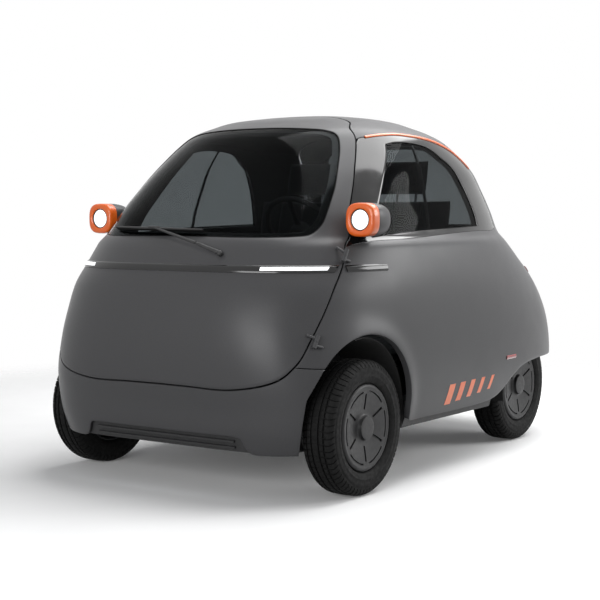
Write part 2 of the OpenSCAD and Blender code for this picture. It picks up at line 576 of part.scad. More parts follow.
// A cushion: two crowned faces that meet in a thin edge.
module cushion(w, d, h, n = 6, m = 4) {
    function crown(u, v) = 0.06 + 0.94 * pow((1 - pow(abs(u), 6)) * (1 - pow(abs(v), 6)), 0.3);
    function ease(t) = sign(t) * (1 - pow(1 - abs(t), 1.6));
    function face(k) = [for (j = [-m : m]) [for (i = [-n : n]) let (u = ease(i / n), v = ease(j / m))
        [u * w / 2, v * d / 2, h / 2 * (1 + k * crown(u, v))]]];
    sheet(face(-1), face(1));
}
module cushion_upright(w, d, h, n = 6, m = 4) {
    translate([0, d / 2, h / 2]) rotate([90, 0, 0]) cushion(w, h, d, n, m);
}
seat_d = 478;
seat_y = seat_back_y - 2 * fit - seat_d / 2;
module seat_base() {
    color(cloth) translate([0, seat_y, seat_z - 120]) cushion(bench_w, seat_d, 120);
}
recline = 11;
module seat_back() {
    color(cloth) translate([0, seat_back_y - 70, seat_z + 1]) rotate([-recline, 0, 0]) cushion_upright(bench_w, 110, 600);
}
module head_restraints() {
    color(cloth) both_sides() translate([bench_w / 4, seat_back_y - 70, seat_z + 1]) rotate([-recline, 0, 0]) {
        translate([0, 0, 634]) cushion_upright(250, 96, 150, 4, 3);
        for (x = [-50, 50]) translate([x, 0, 600 + fit]) cylinder(r = 6, h = 34 - 2 * fit);
    }
}

// Steering: the column stands on the floor, and the wheel turns on its top.
wheel_at = [bench_w / 4 + 15, 622 - half_len, 1025];
column_foot = [wheel_at[0], wheel_at[1] - 300, floor_z + floor_t];
column_knee = [wheel_at[0], wheel_at[1] - 240, 840];
column_d = wheel_at - column_knee;
column_tilt = atan2(-column_d[1], column_d[2]);
module along_column() {
    translate(wheel_at) rotate([column_tilt, 0, 0]) children();
}
shaft_r = 9;
module steering_column() {
    color(black) {
        along_column() {
            translate([0, 0, -norm(column_d)]) cylinder(r = 30, h = norm(column_d) - 48);
            translate([0, 0, -52]) cylinder(r = shaft_r, h = 52 + 8);
            translate([0, 0, -130]) cube([84, 96, 70], center = true);
        }
        rod(column_foot + [0, 1, 12], column_knee, 30);
        translate(column_knee) sphere(34);
        translate(column_foot + [-60, -60, 0]) cube([120, 120, 30]);
    }
}
module steering_wheel() {
    color(black) along_column() {
        rotate_extrude() translate([steer_r, 0]) circle(steer_t / 2);
        difference() {
            union() {
                translate([0, 0, -36]) cylinder(r = 44, h = 48);
                for (a = [0, 120, 240]) rotate([0, 0, a - 90]) translate([0, -16, -14]) cube([steer_r, 32, 12]);
            }
            translate([0, 0, -37]) cylinder(r = shaft_r + turn, h = 50);
        }
    }
}

// Front suspension: a cross beam with two arms and a damper to each knuckle.
kingpin_x = front_face - tyre_w / 2 - 26;
arm_z = 104;
arm_t = 22;
beam_x = foot_w + 6;
module front_beam() {
    color(steel) {
        for (z = [axle_z - arm_z, axle_z + arm_z]) both_sides() difference() {
            union() {
                translate([beam_x, -front_axle - 24, z - arm_t / 2]) cube([kingpin_x - beam_x, 48, arm_t]);
                translate([kingpin_x, -front_axle, z - arm_t / 2]) cylinder(r = 24, h = arm_t);
            }
            translate([kingpin_x, -front_axle, z - arm_t]) cylinder(r = kingpin_r + turn, h = 2 * arm_t);
        }
        both_sides() translate([foot_w + fit, -front_axle - 90, axle_z - arm_z - arm_t / 2]) cube([6, 180, 2 * arm_z + arm_t]);
        both_sides() translate([foot_w + 50, -front_axle, axle_z - arm_z + arm_t / 2 + fit]) cylinder(r = 22, h = 330);
        both_sides() translate([foot_w + fit, -front_axle - 30, 478]) cube([72, 60, 26]);
        translate([-foot_w - 6, -front_axle - 60, axle_z - arm_z - arm_t / 2])
            cube([2 * foot_w + 12, 120, floor_z - fit - (axle_z - arm_z - arm_t / 2)]);
    }
}
module knuckle_left() {
    half = arm_z - arm_t / 2 - 1;
    color(steel) {
        translate([kingpin_x - 15, -front_axle - 30, axle_z - half]) cube([30, 60, 2 * half]);
        translate([kingpin_x, -front_axle, axle_z - arm_z - arm_t / 2]) cylinder(r = kingpin_r, h = 2 * arm_z + arm_t);
        translate([kingpin_x + 14, -front_axle, axle_z]) rotate([0, 90, 0]) cylinder(r = stub_r, h = front_face - 30 - kingpin_x - 14);
    }
}
module knuckle_right() {
    mirror([1, 0, 0]) knuckle_left();
}

// Rear: a drive unit between trailing arms, with a stub axle to each wheel.
drive_w = 190;
module drive_unit() {
    color(steel) translate([-drive_w, rear_axle_y - 130, axle_z - 85]) cube([2 * drive_w, 270, 220]);
}
module rear_axle() {
    inner = rear_face - tyre_w - 20;
    spring_h = boot_z - axle_z - 32 - 2 * fit;
    color(steel) both_sides() {
        translate([drive_w + fit, rear_axle_y, axle_z]) rotate([0, 90, 0]) cylinder(r = 32, h = inner - drive_w);
        translate([inner - 60, mid_rear + fit, floor_z - 20]) cube([60, rear_axle_y - mid_rear, 46]);
        translate([inner, rear_axle_y, axle_z]) rotate([0, 90, 0]) cylinder(r = stub_r, h = rear_face - 30 - inner);
        translate([inner - 60, rear_axle_y - 40, floor_z - 20]) cube([60, 80, 110]);
        translate([inner - 90, rear_axle_y, axle_z + 32 + fit]) rotate_extrude()
            polygon(concat([[0, 0]], [for (i = [0 : 12]) [34 + (i % 2 == 0 ? 0 : 8), i * spring_h / 12]], [[0, spring_h]]));
    }
}
liner_t = 5;
// A liner's arc is cut narrower over one stretch of its angles.
module arc(from, to) {
    rotate([0, 0, from]) rotate_extrude(angle = to - from) children();
}
module liner(x, y, z, r, angles, cut, narrow, wide) {
    translate([x, y, z]) rotate([0, 90, 0]) difference() {
        arc(angles[0], angles[1]) translate([r, 0]) square([liner_t, wide - x]);
        arc(cut[0], cut[1]) translate([r - 2, narrow - x]) square([liner_t + 4, wide - narrow + 2]);
    }
}
inner_face = rear_face - tyre_w;
module wheel_liners() {
    color(black) both_sides() {
        liner(foot_w + 7, -front_axle, arch_z - 30, arch_r + 12, [75, 240], [190, 245], front_face - 109, front_face - 29);
        liner(inner_face - 10, rear_axle_y, axle_z + 10, arch_r + 8, [117, 280], [112, 180], rear_face - 26, rear_face + 54);
    }
}

// Hinges: a barrel on its axis, with an arm that ends in a ball resting on a panel.
barrel_r = 9;
pin_r = 4;
ball_r = 6;
module hinge_half(a, b, foot) {
    surface = cast(foot);
    end = surface + (ball_r + fit / 2) * normal(surface);
    difference() {
        rod(a, b, barrel_r);
        rod(mix(a, b, -0.1), mix(a, b, 1.1), pin_r + turn);
    }
    axis = unit(b - a);
    start = mix(a, b, 0.5);
    side = end - start;
    rod(start + (barrel_r - 1.5) * unit(side - axis * (axis * side)), end, ball_r - 0.5);
    translate(end) rotate([0, 0, 180]) sphere(ball_r);
}
// The door turns on the car's left, about a line that leans back with the seam and stands just off the skin.
door_axis = stretch([[656, -1168, 524], [662, -903, 967]]);
door_pins = [0.16, 0.88];
barrel_l = 0.05;
// The tailgate turns about a line across the roof's rear edge.
hatch_x = 170;
hatch_pin = from_rear([hatch_x, rise(1474)]) + [0, 0, 16];
module hinge_pins() {
    color(steel) {
        for (t = door_pins) {
            a = mix(door_axis[0], door_axis[1], t);
            b = mix(door_axis[0], door_axis[1], t + barrel_l);
            c = mix(door_axis[0], door_axis[1], t + 2 * barrel_l + 0.002);
            hinge_half(a, b, a + [0, 44, 0]);
            rod(a, c, pin_r);
        }
        both_sides() {
            hinge_half(hatch_pin, hatch_pin + [24, 0, 0], hatch_pin + [12, -34, -16]);
            translate(hatch_pin) rotate([0, 90, 0]) cylinder(r = pin_r, h = 49);
        }
    }
}
module door_hinges() {
    color(steel) for (t = door_pins) {
        a = mix(door_axis[0], door_axis[1], t + barrel_l + 0.002);
        b = mix(door_axis[0], door_axis[1], t + 2 * barrel_l + 0.002);
        hinge_half(a, b, b + [-52, 6, 0]);
    }
}
module hatch_hinges() {
    color(steel) both_sides()
        hinge_half(hatch_pin + [25, 0, 0], hatch_pin + [49, 0, 0], hatch_pin + [37, 34, -20]);
}

// Wheels.
module tyre(face, y) {
    h = tyre_w / 2;
    color(black) translate([face - h, y, axle_z]) rotate([0, 90, 0]) rotate_extrude($fn = 72) polygon([[rim_r, -h + 22],
        [rim_r + 8, -h + 12], [rim_r + 26, -h + 2], [tyre_r - 44, -h], [tyre_r - 20, -h + 4], [tyre_r - 6, -h + 14],
        [tyre_r, -h + 28], [tyre_r, h - 28], [tyre_r - 6, h - 14], [tyre_r - 20, h - 4], [tyre_r - 44, h],
        [rim_r + 26, h - 2], [rim_r + 8, h - 12], [rim_r, h - 22]]);
}
hub_r = 48;
cover_t = 5;
module rim(face, y) {
    h = tyre_w / 2;
    color(black) translate([face - h, y, axle_z]) rotate([0, 90, 0]) difference() {
        rotate_extrude($fn = 72) polygon([[rim_r - 6, -h + 22], [rim_r, -h + 22], [rim_r, h - 22], [rim_r - 1, h - 14],
            [rim_r - 16, h - 8], [rim_r - 34, h - 9], [hub_r + 22, h - 20], [hub_r + 6, h - 20], [hub_r, h - 6],
            [hub_r - 8, h - 2], [0, h - 2], [0, h - 12], [stub_r + turn, h - 12], [stub_r + turn, h - 56],
            [stub_r + 14, h - 56], [stub_r + 14, h - 28], [hub_r + 24, h - 28], [rim_r - 36, h - 16], [rim_r - 8, h - 18]]);
        for (i = [0 : 5]) rotate([0, 0, i * 60]) translate([hub_r + 26, -9, h - 40]) cube([62, 18, 60]);
    }
}

// Every node.
floor_tub();
battery();
drive_unit();
front_beam();
rear_axle();
seat_box();
wheel_liners();
side_panel_left();
side_panel_right();
front_bumper();
intake();
tail_panel();
roof();
sunroof();
quarter_panels();
window_frames();
side_glass();
roof_strips();
wing_strips();
mirror_pods();
mirror_bezels();
headlamps();
mirror_glass();
side_reflectors();
rear_lamps();
seat_base();
seat_back();
head_restraints();
steering_column();
hinge_pins();
steering_wheel();
door_shell();
windscreen();
light_strip();
lamp_bars();
door_shelf();
wiper();
door_hinges();
hatch();
rear_window();
hatch_hinges();
knuckle_left();
knuckle_right();
tyre(front_face, -front_axle);  // tyre_front_left
rim(front_face, -front_axle);  // rim_front_left
mirror([1, 0, 0]) tyre(front_face, -front_axle);  // tyre_front_right
mirror([1, 0, 0]) rim(front_face, -front_axle);  // rim_front_right
tyre(rear_face, rear_axle_y);  // tyre_rear_left
rim(rear_face, rear_axle_y);  // rim_rear_left
mirror([1, 0, 0]) tyre(rear_face, rear_axle_y);  // tyre_rear_right
mirror([1, 0, 0]) rim(rear_face, rear_axle_y);  // rim_rear_right
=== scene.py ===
# %% [markdown]
# # A two-seat electric microcar with one front door
# The car's solids come from the imported frame. This lesson covers them with smooth panels, real finishes
# and the details a solid model leaves out: tread, lamp internals, cushions and seals.
# Lengths are worked out in millimetres, as on the source's drawings, and turned to metres when a mesh is made.

# %% Load the frame
import math

import bpy
import numpy as np
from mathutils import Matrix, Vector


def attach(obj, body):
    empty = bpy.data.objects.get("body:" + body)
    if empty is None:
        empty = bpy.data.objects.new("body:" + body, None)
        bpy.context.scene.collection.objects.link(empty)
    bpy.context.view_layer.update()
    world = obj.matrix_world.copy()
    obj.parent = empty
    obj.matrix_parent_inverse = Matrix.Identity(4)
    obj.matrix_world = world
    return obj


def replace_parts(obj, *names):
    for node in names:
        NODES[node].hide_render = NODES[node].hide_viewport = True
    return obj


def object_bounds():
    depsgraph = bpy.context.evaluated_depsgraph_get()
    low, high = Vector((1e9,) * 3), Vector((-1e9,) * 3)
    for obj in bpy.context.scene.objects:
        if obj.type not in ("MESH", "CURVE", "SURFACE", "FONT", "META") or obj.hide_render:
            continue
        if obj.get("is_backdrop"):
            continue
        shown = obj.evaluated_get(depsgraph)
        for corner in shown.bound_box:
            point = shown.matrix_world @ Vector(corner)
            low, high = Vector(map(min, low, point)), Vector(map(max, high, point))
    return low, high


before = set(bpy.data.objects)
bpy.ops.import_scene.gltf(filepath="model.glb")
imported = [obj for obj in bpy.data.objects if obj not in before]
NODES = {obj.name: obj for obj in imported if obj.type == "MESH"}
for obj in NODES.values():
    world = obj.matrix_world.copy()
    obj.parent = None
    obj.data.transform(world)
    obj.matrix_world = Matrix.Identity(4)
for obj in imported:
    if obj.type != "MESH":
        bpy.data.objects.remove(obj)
cad_low, cad_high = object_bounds()
print("nodes:", len(NODES), "box:", [round(v, 3) for v in cad_low], [round(v, 3) for v in cad_high])

# %% [markdown]
# ## Camera
# The photograph looks at the car from in front and from its left, a little above its lamps. The distance
# and the lens are those that put the wheels, the roof and the nose where the picture has them.

# %% Camera
camera_data = bpy.data.cameras.new("camera")
camera_data.lens = 83.58
camera_data.sensor_width = 36.0
camera = bpy.data.objects.new("camera", camera_data)
camera.location = (3.57613, -5.3941, 1.10997)
camera.rotation_euler = (math.radians(86.30), 0.0, math.radians(34.94))
bpy.context.scene.collection.objects.link(camera)
bpy.context.scene.camera = camera
print("camera at", tuple(round(v, 2) for v in camera.location))

# %% [markdown]
# ## Light
# A soft box above, one along the car's left and a weaker one in front give the broad, blurred highlights
# that satin paint shows in a studio. The world is an even pale grey that lights the shadows.
# Camera, mirror and glass rays see it as white.

# %% Studio lamps and world
def soft_box(name, place, target, size, power):
    """An area lamp at place that faces target. Its size is its two sides in metres."""
    lamp = bpy.data.lights.new(name, "AREA")
    lamp.shape = "RECTANGLE"
    lamp.size, lamp.size_y = size
    lamp.energy = power
    item = bpy.data.objects.new(name, lamp)
    bpy.context.scene.collection.objects.link(item)
    aim = np.array(target, float) - np.array(place, float)
    flat = math.hypot(aim[0], aim[1])
    item.location = place
    item.rotation_euler = (math.atan2(flat, -aim[2]), 0.0, math.atan2(aim[1], aim[0]) - math.pi / 2)
    return item


soft_box("box_above", (0.6, 1.4, 4.4), (0.0, 0.3, 0.8), (3.6, 4.6), 280)
soft_box("box_left", (4.6, 3.6, 2.6), (0.0, 0.4, 0.9), (3.4, 2.2), 170)
soft_box("box_front", (0.8, -6.2, 1.8), (0.0, 0.0, 0.6), (3.8, 2.2), 175)

world = bpy.data.worlds.new("studio")
bpy.context.scene.world = world
world.use_nodes = True


def add(tree, kind, settings=None, links=None):
    """Adds a node of this kind. A setting names an input or a property, and a link joins an input to an output."""
    node = tree.nodes.new(kind)
    for key, value in (settings or {}).items():
        if isinstance(key, int) or key in node.inputs:
            node.inputs[key].default_value = value
        else:
            setattr(node, key, value)
    for key, source in (links or {}).items():
        tree.links.new(source, node.inputs[key])
    return node


def seen_directly(tree):
    """1 for rays from the camera, and for rays that a mirror or glass sends on."""
    rays = add(tree, "ShaderNodeLightPath")
    either = add(tree, "ShaderNodeMath", {"operation": "MAXIMUM"},
                 {0: rays.outputs["Is Camera Ray"], 1: rays.outputs["Is Glossy Ray"]})
    return add(tree, "ShaderNodeMath", {"operation": "MAXIMUM"},
               {0: either.outputs[0], 1: rays.outputs["Is Transmission Ray"]}).outputs[0]


sky = world.node_tree
sky.nodes.clear()
lit = add(sky, "ShaderNodeBackground", {"Color": (0.80, 0.82, 0.85, 1.0), "Strength": 0.22})
white = add(sky, "ShaderNodeBackground", {"Color": (1.0, 1.0, 1.0, 1.0), "Strength": 1.0})
shown = add(sky, "ShaderNodeMixShader", None, {0: seen_directly(sky), 1: lit.outputs[0], 2: white.outputs[0]})
add(sky, "ShaderNodeOutputWorld", None, {"Surface": shown.outputs[0]})
print("lamps:", len(bpy.data.lights))

# %% [markdown]
# ## Finishes
# Each finish starts from what the real surface is made of. Colours are written as sRGB hex, as a paint
# chart gives them, and one function turns them linear. A pattern's scale is its real size in millimetres.

# %% Helpers for finishes
def linear(code, alpha=1.0):
    """An sRGB hex colour in linear light: below 0.04045 a division by 12.92, above it a power of 2.4."""
    parts = np.array([int(code[i:i + 2], 16) for i in (1, 3, 5)]) / 255.0
    values = np.where(parts <= 0.04045, parts / 12.92, ((parts + 0.055) / 1.055) ** 2.4)
    return (*[float(v) for v in values], alpha)


def finish(name, **settings):
    """A material of that name with its Principled shader's sockets set, its tree and its shader."""
    made = bpy.data.materials.new(name)
    made.use_nodes = True
    tree = made.node_tree
    shader = next(n for n in tree.nodes if n.type == "BSDF_PRINCIPLED")
    for key, value in settings.items():
        shader.inputs[key.replace("_", " ")].default_value = value
    return made, tree, shader


def speckle(tree, size, detail=2.0):
    """A noise whose blobs are size millimetres wide, on the piece's own coordinates."""
    place = add(tree, "ShaderNodeTexCoord")
    return add(tree, "ShaderNodeTexNoise", {"Scale": 1000.0 / size, "Detail": detail},
               {"Vector": place.outputs["Object"]}).outputs["Fac"]


def vary(tree, shader, socket, source, low, high, start=0.35, end=0.65):
    """Spreads a pattern between two values, or two hex colours, on one of the shader's sockets."""
    coloured = isinstance(low, str)
    node = add(tree, "ShaderNodeMapRange", {"From Min": start, "From Max": end}, {"Value": source})
    if coloured:
        blend = add(tree, "ShaderNodeMix", {"data_type": "RGBA"}, {0: node.outputs[0]})
        blend.inputs[6].default_value = linear(low)
        blend.inputs[7].default_value = linear(high)
        tree.links.new(blend.outputs[2], shader.inputs[socket])
    else:
        node.inputs["To Min"].default_value = low
        node.inputs["To Max"].default_value = high
        tree.links.new(node.outputs[0], shader.inputs[socket])


def relief(tree, shader, source, depth, strength=1.0):
    """Uses a pattern as a bump that is depth millimetres from its lows to its highs."""
    bump = add(tree, "ShaderNodeBump", {"Strength": strength, "Distance": depth / 1000.0}, {"Height": source})
    tree.links.new(bump.outputs["Normal"], shader.inputs["Normal"])


# %% [markdown]
# The body is ABS sheet under a satin metallic grey lacquer. The lacquer has a faint orange peel a few
# millimetres wide, and its flakes make small lighter and darker grains. The orange parts have the same
# lacquer without flakes.

# %% Paint
paint, tree, shader = finish("satin_grey_lacquer", Roughness=0.40, Metallic=0.1)
shader.inputs["Coat Weight"].default_value = 0.08
shader.inputs["Specular IOR Level"].default_value = 0.2
shader.inputs["Coat Roughness"].default_value = 0.28
vary(tree, shader, "Base Color", speckle(tree, 1.6, 3.0), "#424243", "#4A4A4C")
vary(tree, shader, "Roughness", speckle(tree, 160.0), 0.38, 0.43)
relief(tree, shader, speckle(tree, 5.0), 0.02, 0.5)

orange, tree, shader = finish("satin_orange_lacquer", Roughness=0.34)
shader.inputs["Coat Weight"].default_value = 0.3
vary(tree, shader, "Base Color", speckle(tree, 40.0), "#EE6414", "#F06C1C")
vary(tree, shader, "Roughness", speckle(tree, 60.0), 0.31, 0.37)
relief(tree, shader, speckle(tree, 5.0), 0.02, 0.5)
print("paints:", paint.name, orange.name)

# %% [markdown]
# Trim is moulded polypropylene with a fine grain, which scatters light and looks dark grey. Window frames,
# the light strip and the roof panel are polished acrylic: nearly black, with a clear highlight.

# %% Plastics
trim, tree, shader = finish("grained_polypropylene", Roughness=0.6)
vary(tree, shader, "Base Color", speckle(tree, 30.0), "#1C1C1D", "#222223")
vary(tree, shader, "Roughness", speckle(tree, 3.0), 0.54, 0.68)
relief(tree, shader, speckle(tree, 1.4, 1.0), 0.12, 0.7)

gloss, tree, shader = finish("polished_black_acrylic", Roughness=0.12, IOR=1.49)
vary(tree, shader, "Base Color", speckle(tree, 80.0), "#101011", "#151516")
vary(tree, shader, "Roughness", speckle(tree, 90.0), 0.09, 0.16)
relief(tree, shader, speckle(tree, 9.0), 0.008, 0.4)

cover_plastic, tree, shader = finish("satin_black_wheel_cover", Roughness=0.42)
shader.inputs["Specular IOR Level"].default_value = 0.3
vary(tree, shader, "Base Color", speckle(tree, 25.0), "#1E1E1F", "#252526")
vary(tree, shader, "Roughness", speckle(tree, 14.0), 0.38, 0.50)
relief(tree, shader, speckle(tree, 1.6, 1.0), 0.05, 0.5)

dark, tree, shader = finish("matt_black_liner", Roughness=0.85)
vary(tree, shader, "Base Color", speckle(tree, 25.0), "#0B0B0B", "#111111")
relief(tree, shader, speckle(tree, 4.0), 0.3, 0.6)
print("plastics:", trim.name, gloss.name, cover_plastic.name, dark.name)

# %% [markdown]
# Tyres and seals are carbon-black rubber, dull and slightly dusty. Chassis parts are steel under black
# e-coat, the battery case and drive housing are cast aluminium, and pins and posts are plated steel.

# %% Rubber and metals
rubber, tree, shader = finish("carbon_black_rubber", Roughness=0.7)
shader.inputs["Specular IOR Level"].default_value = 0.15
vary(tree, shader, "Base Color", speckle(tree, 22.0, 4.0), "#0C0C0C", "#131313")
vary(tree, shader, "Roughness", speckle(tree, 12.0), 0.62, 0.80)
relief(tree, shader, speckle(tree, 1.8), 0.10, 0.6)

coated, tree, shader = finish("e_coated_steel", Roughness=0.5, Metallic=0.2)
vary(tree, shader, "Base Color", speckle(tree, 35.0), "#26272A", "#303134")
vary(tree, shader, "Roughness", speckle(tree, 18.0), 0.44, 0.58)
relief(tree, shader, speckle(tree, 3.0), 0.06, 0.5)

cast_metal, tree, shader = finish("sand_cast_aluminium", Roughness=0.5, Metallic=1.0)
vary(tree, shader, "Base Color", speckle(tree, 30.0), "#85878A", "#96989B")
vary(tree, shader, "Roughness", speckle(tree, 6.0), 0.44, 0.60)
relief(tree, shader, speckle(tree, 2.2), 0.15, 0.7)

plated, tree, shader = finish("zinc_plated_steel", Roughness=0.3, Metallic=1.0)
vary(tree, shader, "Base Color", speckle(tree, 12.0), "#A9ABAE", "#B9BBBE")
vary(tree, shader, "Roughness", speckle(tree, 5.0), 0.24, 0.36)
print("rubber and metals:", rubber.name, coated.name, cast_metal.name, plated.name)

# %% [markdown]
# The windows are tinted safety glass: about half of the light comes through, and the surface mirrors the
# room by Schlick's form of Fresnel's law. A thin pane hardly bends what is behind it, so its shader passes light straight on
# through a grey tint, and a clear gloss lies over that.

# %% Glass and lamps
def pane(name, tint, gloss_roughness):
    """Tinted glass: a transparent grey with a mirror gloss mixed in by 0.04 + 0.9 (1 - cosine) to the fifth power."""
    made = bpy.data.materials.new(name)
    made.use_nodes = True
    tree = made.node_tree
    tree.nodes.clear()
    through = add(tree, "ShaderNodeBsdfTransparent", {"Color": linear(tint)})
    mirror = add(tree, "ShaderNodeBsdfPrincipled", {"Base Color": linear("#0A0B0C"), "Roughness": gloss_roughness})
    smudge = add(tree, "ShaderNodeMapRange", {"From Min": 0.4, "From Max": 0.6, "To Min": gloss_roughness,
                                              "To Max": gloss_roughness + 0.03}, {"Value": speckle(tree, 120.0)})
    tree.links.new(smudge.outputs[0], mirror.inputs["Roughness"])
    facing = add(tree, "ShaderNodeLayerWeight", {"Blend": 0.5}).outputs["Facing"]
    steep = add(tree, "ShaderNodeMath", {"operation": "POWER", 1: 5.0}, {0: facing})
    amount = add(tree, "ShaderNodeMath", {"operation": "MULTIPLY_ADD", 1: 0.9, 2: 0.04}, {0: steep.outputs[0]})
    both = add(tree, "ShaderNodeMixShader", None, {0: amount.outputs[0], 1: through.outputs[0], 2: mirror.outputs[0]})
    add(tree, "ShaderNodeOutputMaterial", None, {"Surface": both.outputs[0]})
    return made


tinted = pane("tinted_safety_glass", "#C4C7C8", 0.02)

glow, tree, shader = finish("white_led_diffuser", Roughness=0.25)
shader.inputs["Base Color"].default_value = linear("#F4F6F8")
shader.inputs["Emission Strength"].default_value = 1.1
vary(tree, shader, "Emission Color", speckle(tree, 6.0), "#EEF2F6", "#FFFFFF")

mirror_coat, tree, shader = finish("silvered_mirror", Roughness=0.02, Metallic=1.0)
vary(tree, shader, "Base Color", speckle(tree, 60.0), "#D4D8DB", "#DDE0E3")

reflector, tree, shader = finish("chromed_lamp_reflector", Roughness=0.12, Metallic=1.0)
vary(tree, shader, "Base Color", speckle(tree, 8.0), "#C4C7CA", "#D2D5D8")

ruby, tree, shader = finish("red_moulded_acrylic", Roughness=0.12, IOR=1.49)
shader.inputs["Coat Weight"].default_value = 0.6
vary(tree, shader, "Base Color", speckle(tree, 5.0), "#7E0C10", "#A01418")
relief(tree, shader, speckle(tree, 3.0, 0.0), 0.4, 0.7)
print("glass and lamps:", tinted.name, glow.name, ruby.name)

# %% [markdown]
# The bench is covered in a woven polyester. Its threads lie about 1.2 mm apart, which is too fine to show
# here, so they are drawn 2.4 mm apart. Two crossed sets of waves make the weave's relief, and the same waves
# paint its colour: lighter on the thread tops and darker in the hollows between them, as painted shade. A sheen
# lifts the edges. The piping round the cushions is a webbing of the same yarn woven flat, and the floor has a
# needled carpet.

# %% Cloth
def weave(name, thread, low, high, rough):
    """Woven cloth: the product of two crossed sine waves, one along the cloth's U and one along its V. It makes the
    relief and also the colour, lighter on the thread tops and darker in the hollows, as painted shade.
    """
    made, tree, shader = finish(name, Roughness=rough)
    shader.inputs["Sheen Weight"].default_value = 0.25
    shader.inputs["Sheen Roughness"].default_value = 0.5
    place = add(tree, "ShaderNodeTexCoord")
    waves = []
    for direction in ("X", "Y"):
        waves.append(add(tree, "ShaderNodeTexWave", {"bands_direction": direction, "Scale": 314.0 / thread / 2.0,
                                                     "Distortion": 0.6, "Detail": 1.0},
                         {"Vector": place.outputs["UV"]}).outputs["Fac"])
    thread_relief_and_shade = add(tree, "ShaderNodeMath", {"operation": "MULTIPLY"}, {0: waves[0], 1: waves[1]}).outputs[0]
    # Painted shade: the height that makes the relief also colours the cloth, lighter on the thread tops and darker in
    # the hollows.
    vary(tree, shader, "Base Color", thread_relief_and_shade, low, high, 0.0, 0.8)
    relief(tree, shader, thread_relief_and_shade, 0.35, 0.8)
    return made


cloth = weave("woven_polyester", 2.4, "#232325", "#38383B", 0.88)
belt_web = weave("belt_webbing", 2.0, "#151516", "#232324", 0.7)
carpet, tree, shader = finish("needled_carpet", Roughness=0.95)
vary(tree, shader, "Base Color", speckle(tree, 4.0, 4.0), "#141415", "#242426")
relief(tree, shader, speckle(tree, 2.5, 4.0), 0.8, 0.9)
print("cloths:", cloth.name, belt_web.name, carpet.name)

# %% [markdown]
# ## The body as one surface
# The body is drawn as horizontal sections. Each section is a superellipse: the share of the half width to
# one power plus the share of the length to the same power is 1. Powers above 2 square the corners. A cubic
# through neighbouring rows gives every height between them, so all panels lie on one smooth surface.

# %% Sections
SECTIONS = np.array([
    [0.00, 55, 46, 75, 5.4, 3.8], [0.10, 36, 21, 45, 5.4, 3.8], [0.20, 25, 6, 15, 5.3, 3.8],
    [0.33, 5, 0, 0, 5.0, 3.7], [0.49, 0, 0, 15, 4.5, 3.5], [0.63, 15, 4, 55, 4.1, 3.2],
    [0.75, 45, 11, 120, 3.9, 2.9], [0.85, 82, 22, 218, 3.5, 2.7], [0.93, 115, 36, 300, 3.3, 2.6],
    [0.96, 130, 48, 335, 3.3, 2.6], [1.00, 160, 84, 345, 3.4, 2.6], [1.18, 238, 103, 410, 3.3, 2.6],
    [1.37, 334, 130, 505, 3.1, 2.7], [1.56, 435, 161, 615, 2.8, 2.8], [1.76, 560, 216, 790, 2.6, 2.7],
    [1.84, 625, 256, 880, 2.5, 2.5], [1.90, 710, 318, 1000, 2.4, 2.4], [1.95, 800, 396, 1120, 2.4, 2.4],
    [1.985, 930, 526, 1270, 2.3, 2.3], [2.00, 1010, 666, 1415, 2.2, 2.2]])
HALF_LENGTH, HALF_WIDTH, WIDEST_Y, ROOF_Z = 1272.0, 746.0, -222.0, 1526.0
FRONT_AXLE, REAR_AXLE, ARCH_Z, ARCH_R, AXLE_Z = -855.0, 711.0, 341.0, 290.0, 266.5
HEIGHTS = np.where(SECTIONS[:, 0] < 1, 180 + SECTIONS[:, 0] * 828, 1008 + (SECTIONS[:, 0] - 1) * 518)
SIZES = np.column_stack([HALF_LENGTH - SECTIONS[:, 1], HALF_WIDTH - SECTIONS[:, 2], HALF_LENGTH - SECTIONS[:, 3],
                         SECTIONS[:, 4], SECTIONS[:, 5]])
before, after = np.maximum(np.arange(20) - 1, 0), np.minimum(np.arange(20) + 1, 19)
SLOPES = (SIZES[after] - SIZES[before]) / (HEIGHTS[after] - HEIGHTS[before])[:, None]


def section(z):
    """The five sizes at heights z: the cubic that meets both rows' values and slopes (Hermite's form)."""
    row = np.clip(np.searchsorted(HEIGHTS, z, "right") - 1, 0, 18)
    step = HEIGHTS[row + 1] - HEIGHTS[row]
    t = np.clip((z - HEIGHTS[row]) / step, 0, 1)[..., None]
    step = step[..., None]
    return (SIZES[row] * (1 + 2 * t) * (1 - t) ** 2 + SLOPES[row] * step * t * (1 - t) ** 2
            + SIZES[row + 1] * t * t * (3 - 2 * t) - SLOPES[row + 1] * step * t * t * (1 - t))


def rounded(t, n):
    """The superellipse solved for its other share: (1 - t to the n) to the 1/n."""
    return np.maximum(1 - np.minimum(np.abs(t), 1) ** n, 0) ** (1 / n)


def half_width(y, z):
    s = section(z)
    front = s[..., 1] * rounded((WIDEST_Y - y) / (WIDEST_Y + s[..., 0]), s[..., 3])
    rear = s[..., 1] * rounded((y - WIDEST_Y) / (s[..., 2] - WIDEST_Y), s[..., 4])
    return np.where(y < WIDEST_Y, front, rear)


def from_front(keys):
    """Points given as X and Z, put on the front half of the body."""
    k = np.asarray(keys, float)
    s = section(k[..., 1])
    y = WIDEST_Y - (WIDEST_Y + s[..., 0]) * rounded(k[..., 0] / s[..., 1], s[..., 3])
    return np.stack([k[..., 0], y, k[..., 1]], -1)


def from_rear(keys):
    """Points given as X and Z, put on the rear half of the body."""
    k = np.asarray(keys, float)
    s = section(k[..., 1])
    y = WIDEST_Y + (s[..., 2] - WIDEST_Y) * rounded(k[..., 0] / s[..., 1], s[..., 4])
    return np.stack([k[..., 0], y, k[..., 1]], -1)


def from_side(keys):
    """Points given as Y and Z, put on the car's left."""
    k = np.asarray(keys, float)
    return np.stack([half_width(k[..., 0], k[..., 1]), k[..., 0], k[..., 1]], -1)


